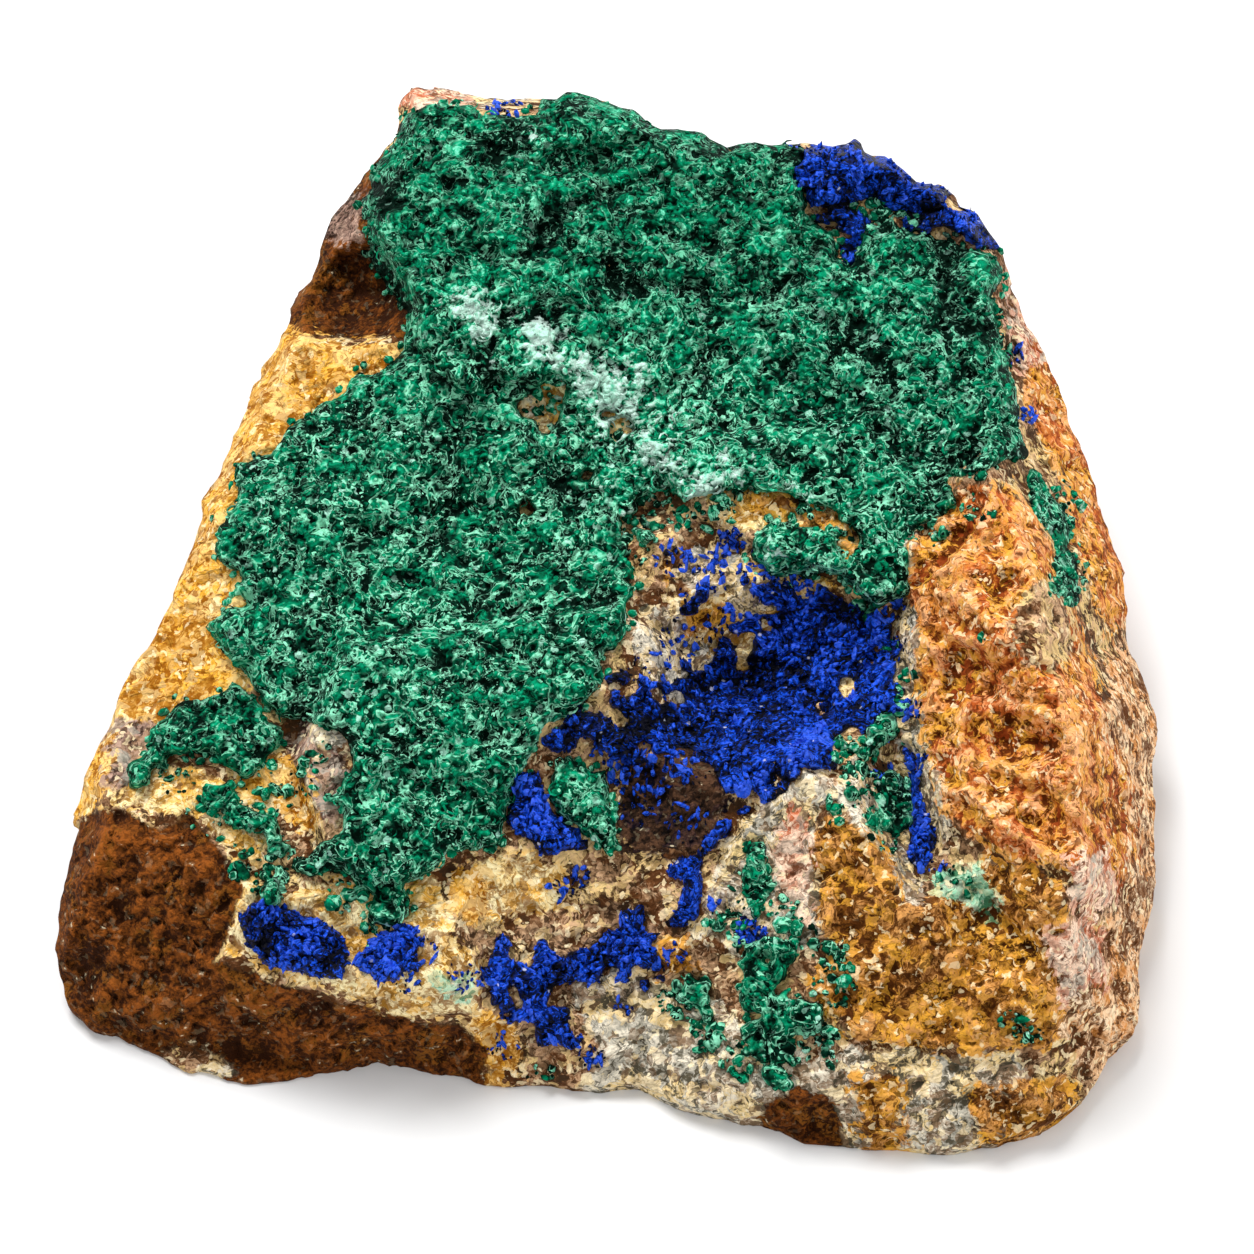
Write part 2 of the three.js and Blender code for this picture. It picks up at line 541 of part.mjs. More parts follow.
    outline: [
      [-11.4, -39.4], [-9, -41.2], [-8.6, -44], [-5.4, -46.6], [-2.2, -48], [0.2, -46.4], [-2.8, -44.2],
      [-2.4, -41], [0.4, -39], [3.4, -41], [5, -36.4], [3.8, -34], [0.4, -35.6], [-4.8, -35.4], [-8.4, -36.8],
    ],
  },
  {
    name: "azurite_vein", colour: 0x1536b4, step: PATCH_STEP, thickness: 1.1, edge: 1, lumps: 0.3,
    crystals: [7, 0.9],
    outline: [
      [5.2, -30.4], [8.2, -28.2], [9.6, -26], [11.6, -25.6], [10, -28], [8.6, -31], [7.4, -34], [5.6, -34.8],
      [6.4, -31.8],
    ],
  },
  {
    name: "azurite_plateau_patch", colour: 0x0d2390, step: PATCH_STEP, thickness: 1.2, edge: 1, lumps: 0.3,
    crystals: [4, 1],
    outline: [
      [-7.6, -21.2], [-5.6, -20.4], [-5.2, -23], [-4.2, -25.2], [-1.6, -27.4], [-2.6, -28.6], [-6.4, -27.4],
      [-8, -25],
    ],
  },
  {
    name: "azurite_valley_tip", colour: 0x0d2390, step: PATCH_STEP, thickness: 1.3, edge: 0.8, lumps: 0.2,
    crystals: [5, 0.9],
    outline: [
      [26.9, -19.4], [27.8, -22], [28.9, -26.4], [29, -28.8], [27.6, -30.6], [26.4, -29.4], [27.1, -26.6],
      [27.1, -22.6],
    ],
  },
];

// Thickness of a crust: round at its edge, and less than nothing outside it, where the rock cuts it off.
function thicknessAt({ outline, thickness, edge, lumps }, u, v) {
  const depth = depthInside(outline, u, v);
  if (depth <= 0) return Math.max(EDGE_FALL * depth, -AIR_HEIGHT / 3);
  const rounded = Math.sqrt(1 - (1 - Math.min(depth / edge, 1)) ** 2);
  return (thickness + lumps * waves(CRUST_WAVES, u, v)) * rounded + CLEARANCE;
}

// The crystals of a crust: double pyramids spread over its outline, each at a slant of its own.
function crystalSolids(crust, seed) {
  const [count, size] = crust.crystals;
  const us = crust.outline.map(([u]) => u);
  const vs = crust.outline.map(([, v]) => v);
  const crystals = [];
  for (let n = 1; crystals.length < count; n++) {
    const [a, b] = CRYSTAL_SPREAD.map((share) => (n * share) % 1);
    const u = THREE.MathUtils.lerp(Math.min(...us), Math.max(...us), a);
    const v = THREE.MathUtils.lerp(Math.min(...vs), Math.max(...vs), b);
    const length = size * THREE.MathUtils.lerp(...CRYSTAL_SIZES, hash(n, 3, seed));
    if (depthInside(crust.outline, u, v) < CRYSTAL_MARGIN * length) continue;
    const crystal = new THREE.OctahedronGeometry(length);
    crystal.scale(...CRYSTAL_FORM);
    crystal.rotateX(CRYSTAL_LEAN * (2 * hash(n, 4, seed) - 1));
    crystal.rotateY(CRYSTAL_LEAN * (2 * hash(n, 5, seed) - 1));
    crystal.rotateZ(Math.PI * hash(n, 6, seed));
    const middle = ground(u, v) + thicknessAt(crust, u, v) - CRYSTAL_SINK * length;
    crystal.translate(...place(u, v, middle));
    crystals.push(solidOf(crystal));
  }
  return crystals;
}

// The largest body of a cut solid, without the slivers that a cut can leave beside it.
function largestBody(solid) {
  const { vertProperties, triVerts } = solid.getMesh();
  const owner = Array.from({ length: vertProperties.length / 3 }, (_, n) => n);
  const rootOf = (n) => {
    while (owner[n] !== n) n = owner[n] = owner[owner[n]];
    return n;
  };
  for (let k = 0; k < triVerts.length; k += 3) {
    owner[rootOf(triVerts[k])] = rootOf(triVerts[k + 1]);
    owner[rootOf(triVerts[k + 2])] = rootOf(triVerts[k + 1]);
  }
  const bodies = new Map();
  for (let k = 0; k < triVerts.length; k += 3) {
    const root = rootOf(triVerts[k]);
    if (!bodies.has(root)) bodies.set(root, []);
    bodies.get(root).push(...triVerts.slice(k, k + 3));
  }
  const triangles = [...bodies.values()].sort((a, b) => b.length - a.length)[0];
  const geometry = new THREE.BufferGeometry();
  geometry.setAttribute("position", new THREE.BufferAttribute(vertProperties, 3));
  geometry.setIndex(triangles);
  return geometry.toNonIndexed();
}

function namedMesh(name, geometry, colour, roughness) {
  const material = new THREE.MeshStandardMaterial({ color: colour, roughness, metalness: 0 });
  const mesh = new THREE.Mesh(geometry, material);
  mesh.name = name;
  return mesh;
}

const group = new THREE.Group();
const rockSheet = stretchedSheet(ROCK_STEP);
group.add(namedMesh("matrix_rock", largestBody(rockSolid(rockSheet)), 0x8a5a2c, 0.9));
const air = sheetSolid(rockSheet, (u, v) => ground(u, v) + CLEARANCE, (u, v) => ground(u, v) + AIR_HEIGHT);
const sheets = { [ROCK_STEP]: rockSheet, [PATCH_STEP]: stretchedSheet(PATCH_STEP) };
CRUSTS.forEach((crust, seed) => {
  const below = (u, v) => ground(u, v) - AIR_HEIGHT / 2;
  const top = (u, v) => ground(u, v) + thicknessAt(crust, u, v);
  let solid = sheetSolid(sheets[crust.step], below, top);
  if (crust.crystals) for (const crystal of crystalSolids(crust, seed + 50)) solid = solid.add(crystal);
  group.add(namedMesh(crust.name, largestBody(solid.intersect(air)), crust.colour, 0.7));
});

export default group;
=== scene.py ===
"""Azurite and malachite on limonite: the fine surfaces, the finishes and the studio.

Lengths in the shape formulas are millimetres in face coordinates, as the specimen is described: u to the
right and v to the back over the sloping display face, and h, the height over that face towards the viewpoint.
"""

import math

import bpy
import numpy as np
from bpy.props import FloatProperty, FloatVectorProperty, IntProperty, PointerProperty
from mathutils import Matrix, Vector


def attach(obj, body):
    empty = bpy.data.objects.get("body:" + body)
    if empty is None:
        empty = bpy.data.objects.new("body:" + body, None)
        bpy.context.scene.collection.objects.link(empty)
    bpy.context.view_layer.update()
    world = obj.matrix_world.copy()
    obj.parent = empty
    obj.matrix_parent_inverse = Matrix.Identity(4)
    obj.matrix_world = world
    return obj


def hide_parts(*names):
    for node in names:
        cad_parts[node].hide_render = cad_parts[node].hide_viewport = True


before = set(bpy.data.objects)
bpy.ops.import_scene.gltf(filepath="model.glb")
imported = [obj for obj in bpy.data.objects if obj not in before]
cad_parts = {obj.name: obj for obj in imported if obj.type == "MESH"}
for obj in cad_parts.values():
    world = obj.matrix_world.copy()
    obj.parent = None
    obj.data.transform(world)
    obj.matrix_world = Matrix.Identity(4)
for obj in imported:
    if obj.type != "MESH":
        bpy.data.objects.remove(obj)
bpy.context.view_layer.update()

bl_info = {
    "name": "Azurite and malachite specimen",
    "version": (1, 0, 0),
    "blender": (4, 5, 0),
    "location": "View3D > Sidebar > Specimen",
    "description": "Builds the crusts, the rock and the finishes of an azurite and malachite specimen",
    "category": "Add Mesh",
}

MM = 0.001

# The specimen's own geometry, as the solids have it
FACE_HEIGHT = 23.5
FACE_RISE = 0.24
VIEWPOINT = np.array([2.0, -276.9, 343.4])
CENTRE = np.array([0.87, 0.48, 0.0])
RIM_FLOOR = 0.5
# Tips above this height are pressed down by this share of what stands over it
TIP_LEVEL = 38.6
TIP_SQUEEZE = 0.4
UNDERCUT = 0.14
UNDERCUT_POWER = 1.4
WALL_HEIGHT = 34
ROCK_WIDTH = 93
ROCK_DEPTH = 90

# How far round a point its relief and its hollow are told from, and how far inland each fades in
RELIEF_REACH = 0.9
HOLLOW_REACH = 2.4
INLAND_REACH = 3
# A point in a zone of a finish is no deeper in it than this
ZONE_REACH = 2.5

FRONT_SIDE = [
    (-46.4, -41), (-44.3, -43.9), (-40, -46), (-35.4, -48), (-30.5, -49), (-25.5, -48.6), (-19.5, -47.1),
    (-14, -48.2), (-8, -49.4), (0, -49.2), (4, -49.4), (8.5, -51.3), (13.5, -52.6), (17, -54.4),
    (22.5, -54.8), (28, -55), (33, -54.1), (38, -52.5), (41.2, -49.9),
]
RIGHT_SIDE = [
    (41.2, -49.9), (43.4, -46.8), (45.6, -43.2), (46.4, -37.5), (48, -31), (47.9, -26), (48.5, -15),
    (47.3, -11.2), (46.6, -9.2), (46.6, -2.8), (44.7, 5.4), (42.7, 12.4), (40.3, 20), (38, 26.4),
    (36.4, 31.4),
]
BACK_SIDE = [
    (36.4, 31.4), (34.3, 35.2), (31.4, 37.6), (28.4, 39.8), (24, 41.8), (20, 43), (14.7, 42.3), (11.5, 41.5),
    (9, 43.4), (5.8, 43.8), (1.4, 46.2), (-2.1, 47.3), (-7.5, 47.8), (-12, 47.8), (-19, 48.4),
]
LEFT_SIDE = [
    (-19, 48.4), (-20.4, 42.4), (-24.6, 36.4), (-26.8, 29.5), (-29.9, 21.3), (-33.3, 13.1), (-36.2, 5),
    (-38.6, -4.4), (-42.9, -13.4), (-45.4, -21.7), (-46.7, -31.4), (-47.4, -37), (-46.4, -41),
]
WALL_STATIONS = [
    (-46.4, -41, 2.4, 1.5), (-40, -46, 1.2, 1.25), (-30.5, -49, 0.8, 1.55), (-19.5, -47.1, 0.8, 2),
    (-8, -49.4, 0.8, 1.5), (0, -49.2, 1.4, 0.8), (8.5, -51.3, 2.6, 0.8), (17, -54.4, 3, 0.85),
    (28, -55, 2, 0.9), (38, -52.5, 2.6, 1.1), (45.6, -43.2, 3, 2), (48, -31, 5, 3.4), (48.5, -15, 8, 3.6),
    (44.7, 5.4, 15, 2.4), (40.3, 20, 22, 1.8), (36.4, 31.4, 28, 3), (24, 41.8, 31, 4), (5.8, 43.8, 33, 3),
    (-19, 48.4, 34, 3), (-26.8, 29.5, 25, 2), (-33.3, 13.1, 24, 2.2), (-42.9, -13.4, 18.5, 2.4),
    (-46.7, -31.4, 10, 2.6),
]
FACETS = [
    [(-46, -25.5, 0.2), (-33, -31.5, 0.4), (-39, -35.5, -4.4)],
    [(-33.5, -38, -1.4), (-11, -44, -4.6), (-24, -48.8, -15.2)],
]
# Benches: outline, rise, width of the edge, the two points of the fade, and whether it fades in.
BENCHES = [
    ([(-18.6, 52), (-20.4, 43), (-22.6, 36), (-21.4, 30.6), (-18.2, 25), (-18, 21), (-14.8, 17), (-12, 15.2),
      (-9.8, 17.2), (-5, 16), (2, 8), (14, 8.5), (40, 8), (42, 20), (34, 46), (0, 52)],
     4, 1.6, [(-11, 22), (5, 11)], False),
    ([(-28, -20), (-25, -29), (-20, -32), (-15, -30.6), (-9.5, -28.2), (-3, -29.2), (3, -28.8), (7.4, -27.8),
      (10, -25.6), (11, -20), (10, -12), (2, -4), (-24, -8)], 3.4, 1.6, [(3, -12), (9, -14)], False),
    ([(-34, -38), (-30, -40.4), (-24, -42), (-16, -43.4), (-8, -44.2), (-8, -40), (-22, -37), (-33, -34)],
     1.2, 1.2, [(-12, -42), (-7, -42)], False),
    ([(2, 12), (8, 3), (15, -0.6), (21, -2.4), (24.5, -6), (28, -4), (30, 6), (24, 14)],
     2, 1.6, [(2, 0), (9, 3)], True),
]
CRAG_FOOT = [
    (32, 9.6), (28.8, 4.6), (26, 1.2), (26.7, -4), (26, -8), (27.3, -13), (27.4, -19), (28.6, -26),
    (32, -31.5), (37, -37), (40, -42),
]
CRAG_CREST = [
    (32.4, 7.6, 6), (35.8, 8, 9), (38.2, 4.2, 10.5), (39.6, -1, 10), (40, -6, 9), (41, -11, 9.5),
    (42.4, -17, 9.5), (43, -26, 8.5), (43, -36, 7), (42.6, -41, 4), (41, -45, 1),
]
CRAG_POWER = 0.62
CRAG_FALL = 5
# Ridges: half width, then crest points with their rise.
RIDGES = [
    (8, [(16, -21, 5.6), (19, -24.5, 6.6), (22, -28.5, 5.6), (26, -34.5, 3)]),
    (6.5, [(16, -21, 5.6), (12.5, -25.5, 4.6), (9.6, -30.5, 3), (7, -36, 1.8)]),
    (4.5, [(30, 3, 1.4), (32.6, -4, 2.6), (35, -9, 2.2), (38, -12, 0.6)]),
    (4, [(31, -22, 1.6), (35, -26, 2.4), (39, -30, 1.6), (41, -37, 1)]),
    (3.6, [(9.5, 4.6, 1.4), (5, 1, 2.4), (2.6, -4, 1.6)]),
    (3, [(-40, -26, 1), (-35, -29.5, 1.4), (-32.4, -33, 1.6), (-33.4, -36.6, 1)]),
]
# Mounds and hollows: centre, radii, turn in degrees, rise.
MOUNDS = [
    ((18, -37), (15, 13), 0, 2.6), ((5.8, -23.4), (5, 5.6), 20, 3.4), ((14, -11.5), (13.5, 9), 8, -6.4),
    ((12, -12.4), (5, 2.8), 4, -2.6), ((26, -25), (3.6, 10), 8, -3.4), ((3, -33), (8, 3.4), 40, -2),
    ((-23.8, 26.6), (6.6, 6.6), -18, -7.5), ((-29, 17), (8, 6), 20, -2), ((-41, -10), (7.5, 17), -16, -2.4),
    ((-24, -37.6), (13, 4.6), -12, -2), ((36.2, -17.6), (5.2, 2.8), -14, -3),
    ((33, -12), (4.4, 3.6), 30, -2), ((33, -36), (6.5, 5), -35, -1.8), ((27, 23), (12, 9), 0, 2),
    ((-8, 30), (12, 9), 30, 1.4), ((-2, 40.5), (9, 2.8), 12, -2.6), ((-12, 3), (14, 7), 20, -1.6),
    ((-18, -12), (12, 9), 0, 1.6),
]

# Crusts as they show, over the solids of the same names: thickness, width of the rounded edge, height
# of the lumps, how far the edge wanders (ragged), distance between points (step), outline, and places
# broken into islands as (u, v, radius, how far). Azurite also has the size of its crystal faces
# (grain), how powdery it is (glow), and a third of the places tried for a crystal (shards).
MALACHITE = {
    "malachite_main_crust": dict(
        thickness=2.2, edge=1.5, lumps=0.8, ragged=0.7, step=0.2,
        outline=[
            (-16.5, 50), (-18.6, 46.6), (-19.6, 44.5), (-20.7, 41.7), (-21.6, 39.5), (-22.7, 35.6),
            (-22.9, 33.9), (-21.4, 30.3), (-19.7, 27), (-17.9, 24.8), (-18, 21.3), (-18.8, 19.6),
            (-22.3, 17.9), (-24, 15.2), (-27.4, 13.5), (-28.9, 12.8), (-30.4, 10.8), (-33, 9.1),
            (-33.1, 4.8), (-35, 2.8), (-35.4, 0.2), (-33, -1.8), (-33.4, -3.4), (-32.3, -4.6), (-35.1, -6.7),
            (-33.4, -9.6), (-31.1, -13.4), (-27.6, -16), (-24.5, -17.4), (-22.7, -19.5), (-24.8, -23.2),
            (-23.5, -25.7), (-26.2, -28.5), (-29.9, -30), (-31, -31.9), (-28.9, -33.4), (-27.1, -33.1),
            (-26.3, -31.3), (-24.4, -30.7), (-22.1, -30.7), (-20.3, -32.2), (-19.9, -34.6), (-18.5, -34.9),
            (-17, -33.7), (-17.4, -31.3), (-15.1, -30.7), (-13.4, -28.5), (-10.9, -28.4), (-9.4, -27.6),
            (-8.4, -25.1), (-8, -22.3), (-7.2, -19.8), (-6, -18.2), (-5.2, -16.4), (-1.6, -14.1),
            (-0.7, -11.9), (0.2, -9.6), (2, -6.7), (2.3, -1.8), (3.2, -0.2), (5.9, 0.8), (5.3, 5.1),
            (8.7, 5.4), (13.5, 7), (16.3, 6.1), (17.8, 4.3), (14.6, 2.9), (13.2, 1.7), (13, -0.4),
            (14.2, -1.9), (16.6, -2.5), (20, -1.8), (22.3, -2.8), (23.5, -6), (25.3, -5), (27.1, -3.8),
            (26.5, 1), (28.4, 2.8), (31.5, 4.6), (31.7, 7.3), (34.4, 8.5), (38, 10), (37.5, 12.8),
            (36.8, 19.6), (36, 24), (35.8, 26.5), (36.8, 28.1), (36, 31.2), (31.1, 32.1), (27.4, 33.9),
            (26.2, 34.9), (24.3, 32.8), (22.7, 29.4), (20.8, 32.5), (19.4, 33.5), (18.2, 37.1), (17.6, 44.6),
            (14.7, 44.6), (11.5, 43.6), (9, 45.4), (5.8, 46), (1.4, 48.4), (-2.1, 49.6), (-5, 49.6),
            (-6.2, 45.6), (-11, 45.3), (-13, 50),
        ],
        broken=[
            (-6, 15.5, 2.6, 1.5), (0.4, 12.4, 1.9, 1.5), (1.6, 3.4, 2.8, 1.15), (-7, 4.8, 0.8, 1.3),
            (-17.8, 48.2, 1.5, 1.4), (-14.8, 48.2, 1.3, 1.4), (-12, 47.8, 1.3, 1.3), (6.4, 45.6, 1.2, 1.2),
            (-1, -2, 0.9, 1.1), (-24.6, -18.2, 2.4, 1), (18.6, 3.5, 1.4, 1.3), (21.2, 3.4, 1.4, 1.2),
            (-2, 8.6, 1.4, 0.9), (6.6, 3.6, 2.4, 1), (-28, -31.6, 2.4, 0.7), (-24, -26, 1.6, 0.8),
            (22, 1, 1.5, 0.9), (-25, -22, 1.6, 0.9),
        ],
    ),
    "malachite_left_patch": dict(
        thickness=1.4, edge=1.2, lumps=0.4, ragged=0.5, step=0.18, broken=[],
        outline=[
            (-37.8, -14.4), (-35.5, -14.1), (-32.9, -12.2), (-31, -14.4), (-29.5, -15.9), (-28.2, -17.2),
            (-29.2, -19.5), (-31.5, -21.2), (-33, -20.3), (-35.1, -19.3), (-38, -19.5), (-40.2, -22),
            (-41.3, -22), (-41.5, -20.4), (-40.4, -19.2), (-40.2, -17), (-39, -15.4),
        ],
    ),
    "malachite_rim_sprig": dict(
        thickness=1.2, edge=0.8, lumps=0.3, ragged=0.8, step=0.16,
        broken=[(-30, -26, 4, 0.6)],
        outline=[
            (-35.5, -22.3), (-33, -22), (-31.7, -22.9), (-30.5, -24.2), (-29.2, -26), (-26.8, -27.6),
            (-27.1, -28.4), (-29.1, -28.2), (-30.7, -26.5), (-31.4, -27.9), (-32, -28.7), (-33.5, -28.2),
            (-34.4, -26.7), (-33.9, -25.4), (-35.5, -24.2),
        ],
    ),
    "malachite_tongue": dict(
        thickness=1.4, edge=1, lumps=0.4, ragged=0.5, step=0.16, broken=[],
        outline=[
            (-4.8, -22.9), (-4.2, -20.4), (-3, -19.5), (0, -21), (0, -23.8), (1.4, -25.7), (1.3, -27.9),
            (0.5, -28.4), (-0.7, -27.3), (-1.8, -25.4), (-3.9, -24.5),
        ],
    ),
    "malachite_streak": dict(
        thickness=1.1, edge=0.8, lumps=0.3, ragged=0.4, step=0.14, broken=[],
        outline=[
            (12.8, -27.8), (14.4, -27.6), (14.2, -30), (14.3, -31.9), (13.1, -34.6), (12.2, -32.2),
            (12.3, -30.4),
        ],
    ),
    "malachite_front_patch": dict(
        thickness=1.3, edge=1, lumps=0.5, ragged=1.1, step=0.16,
        broken=[(13, -43, 8, 0.5)],
        outline=[
            (5.4, -42.3), (7.2, -38.9), (9.4, -40.4), (10.6, -41.3), (12, -38), (14, -36.8), (16, -37),
            (16, -39), (17, -41), (20.5, -41), (20.3, -45), (17, -46), (16.5, -49), (15, -50.3),
            (13.8, -49.5), (14, -47.5), (10, -46.5), (7.7, -43.6),
        ],
    ),
    "malachite_valley_strip": dict(
        thickness=1.2, edge=0.8, lumps=0.3, ragged=0.7, step=0.16,
        broken=[(22, -20, 3, 0.7)],
        outline=[
            (20.2, -18.4), (22.8, -17.6), (25, -15.4), (25.9, -17.4), (25.2, -19.6), (26.6, -23.5),
            (26.8, -25.4), (25.3, -26.3), (23.6, -25.7), (23.4, -22), (22.8, -20.6), (20.4, -20.7),
        ],
    ),
    "malachite_crag_strip": dict(
        thickness=1.3, edge=0.9, lumps=0.3, ragged=0.4, step=0.16, broken=[],
        outline=[
            (38.8, 8.2), (40.2, 6.3), (42, 4.1), (42.3, 2.5), (41.6, 0.8), (42.6, -0.8), (42.6, -4.4),
            (41.5, -5.2), (40.2, -3.8), (40.2, -1.1), (40.5, 0.5), (39.3, 2.5), (38.6, 4.5),
        ],
    ),
}
AZURITE = {
    "azurite_hollow_crust": dict(
        thickness=1.4, edge=1, lumps=0.6, ragged=1.1, step=0.16, grain=0.8, glow=0.25, shards=1000,
        broken=[
            (8.6, -3, 4.8, 1.35), (9.6, -7.8, 3.6, 1.15), (4.6, -10, 3.4, 1.15), (14.6, -3.4, 3, 0.5),
            (18.6, -4.2, 2.2, 0.95), (21.4, -13.2, 1.9, 0.72), (1, -14.6, 1.6, 0.8), (5.4, -22.6, 4.6, 1.1),
            (-1, -19, 2.4, 0.7), (24.6, -10, 1.6, 0.5), (2, 0, 2.4, 1.2),
        ],
        outline=[
            (-5.8, -17.6), (-5, -16.2), (-1.9, -13.6), (0.2, -9.8), (2, -6.6), (4.6, -3.4), (5.6, 0.6),
            (8.6, 2), (10.6, 0), (13, 0.4), (15.4, -1.4), (20, -3.2), (23.2, -6.6), (25.2, -6),
            (26.6, -13.2), (26.9, -15.4), (24.4, -16.4), (22.2, -17.4), (20.8, -18.2), (19.8, -19.8),
            (17, -21.4), (15, -22.8), (12.6, -24.6), (10.4, -25), (9.6, -21.8), (7.6, -19.4), (4.4, -20),
            (2.4, -22.4), (0, -20.2), (-4, -19),
        ],
    ),
    "azurite_back_cluster": dict(
        thickness=2.2, edge=1, lumps=2, ragged=0.9, step=0.16, grain=0.9, glow=0.15, shards=420,
        broken=[(22.2, 33.8, 2, 0.8), (31, 34.4, 2, 0.5), (18.4, 41.4, 1.3, 0.9), (26.4, 38.6, 1.1, 0.8)],
        outline=[
            (16.2, 43), (18.4, 44.8), (20.4, 45.6), (23, 44.6), (28.4, 42.6), (32.4, 39.8), (35, 37.4),
            (37.4, 34.8), (37.4, 31.4), (33, 31.9), (29.2, 32.8), (27.2, 34.2), (26, 34.9), (24.3, 33),
            (22.7, 30), (20.8, 32.8), (19.4, 34), (18.4, 37.1),
        ],
    ),
    "azurite_rim_pad": dict(
        thickness=1.8, edge=0.8, lumps=0.4, ragged=0.4, step=0.14, grain=0.9, glow=0.1, shards=160, broken=[],
        outline=[
            (-31.5, -35.2), (-30.8, -33.4), (-29.6, -33.3), (-27.9, -33.9), (-25.6, -34.3), (-24.1, -35.1),
            (-22.4, -36.4), (-22.2, -37.7), (-22.6, -39.8), (-25.2, -39.5), (-26.6, -38.9), (-28.7, -38.6),
            (-30.1, -37.7), (-31, -36.8),
        ],
    ),
    "azurite_rim_cluster": dict(
        thickness=1.4, edge=0.8, lumps=0.4, ragged=0.5, step=0.14, grain=0.8, glow=0.2, shards=90, broken=[],
        outline=[
            (-21.5, -38.6), (-20.7, -37.6), (-19.4, -35.9), (-17.6, -35.2), (-16.3, -35.5), (-16, -39.3),
            (-17.2, -38.9), (-18, -40.5), (-20.1, -39.5),
        ],
    ),
    "azurite_front_spray": dict(
        thickness=1.2, edge=0.8, lumps=0.4, ragged=0.8, step=0.15, grain=0.7, glow=0.08, shards=420,
        broken=[(-3, -41, 9, 0.5)],
        outline=[
            (-10.4, -38.2), (-11.9, -39.5), (-10.7, -40.7), (-9.2, -41), (-8.8, -44), (-6, -45.1),
            (-5.2, -46.8), (-2.5, -47.2), (-0.3, -46.6), (-1.2, -45.1), (-2.6, -44.6), (-3.2, -42.1),
            (-2.3, -40.7), (0.3, -38.6), (2.6, -40.7), (3.5, -41.6), (4.6, -39.8), (3.7, -38.9),
            (5.2, -36.2), (4.6, -34.6), (3.1, -33.4), (0.5, -35.5), (-1, -36.8), (-4.7, -35.2),
            (-5.6, -34.9), (-6.7, -38.2), (-8.4, -36.4), (-9.5, -37.9),
        ],
    ),
    "azurite_vein": dict(
        thickness=1.1, edge=0.8, lumps=0.3, ragged=0.4, step=0.14, grain=0.6, glow=0.6, shards=150, broken=[],
        outline=[
            (5.1, -30), (6.6, -28.8), (8.4, -27.9), (9.8, -25.4), (11.4, -25.4), (11.2, -26), (10, -27.3),
            (8.8, -29.1), (8.6, -30.7), (8.4, -31.6), (7.8, -34), (6.3, -35.2), (5.4, -34.8), (6.6, -32.4),
            (6.9, -31.2), (5.4, -31),
        ],
    ),
    "azurite_plateau_patch": dict(
        thickness=1.2, edge=0.9, lumps=0.3, ragged=0.6, step=0.15, grain=0.7, glow=0.2, shards=130, broken=[],
        outline=[
            (-7.7, -21), (-6.6, -20.4), (-5.2, -20.6), (-5, -22.6), (-4.2, -24.8), (-2.2, -26.2),
            (-1.2, -28), (-4.2, -28.4), (-6.6, -26.8), (-8, -25.4),
        ],
    ),
    "azurite_valley_tip": dict(
        thickness=1.2, edge=0.7, lumps=0.2, ragged=0.3, step=0.14, grain=0.7, glow=0.3, shards=90, broken=[],
        outline=[
            (26.4, -18.6), (27.3, -19.6), (27.6, -22), (28.2, -25.4), (28.8, -27), (28.6, -29),
            (27.5, -30.3), (26.9, -29.4), (26.5, -26.8), (27, -24.6), (26.9, -21.6),
        ],
    ),
}

# Where the rock's finishes show: closed outlines. Later ones lie over earlier ones, and ragged says how far
# their borders wander.
OCHRE_BORDER = [
    (-31.5, 23), (-24.4, 21.9), (-17, 21), (-18, 18), (-22, 14), (-28, 10), (-31, -2), (-31, -12),
    (-34, -15.5), (-41, -16.2), (-43, -23), (-47, -26), (-50, -22), (-48, -8), (-40, 8),
]
LIMONITE_CORNER = [
    (-45.4, -24.9), (-42.4, -24.3), (-38.8, -26.3), (-36.2, -24.9), (-32.1, -30), (-31.2, -31.9),
    (-31.9, -33.4), (-33.2, -36.9), (-33.8, -38.4), (-26.1, -41), (-17.5, -43.3), (-12.6, -44.3), (-10, -46),
    (-9.4, -52), (-28.4, -52), (-29.8, -47.6), (-32, -46.6), (-35, -45.8), (-38, -45.2), (-40.2, -44.7),
    (-42, -47), (-48, -50), (-54, -36), (-50, -26),
]
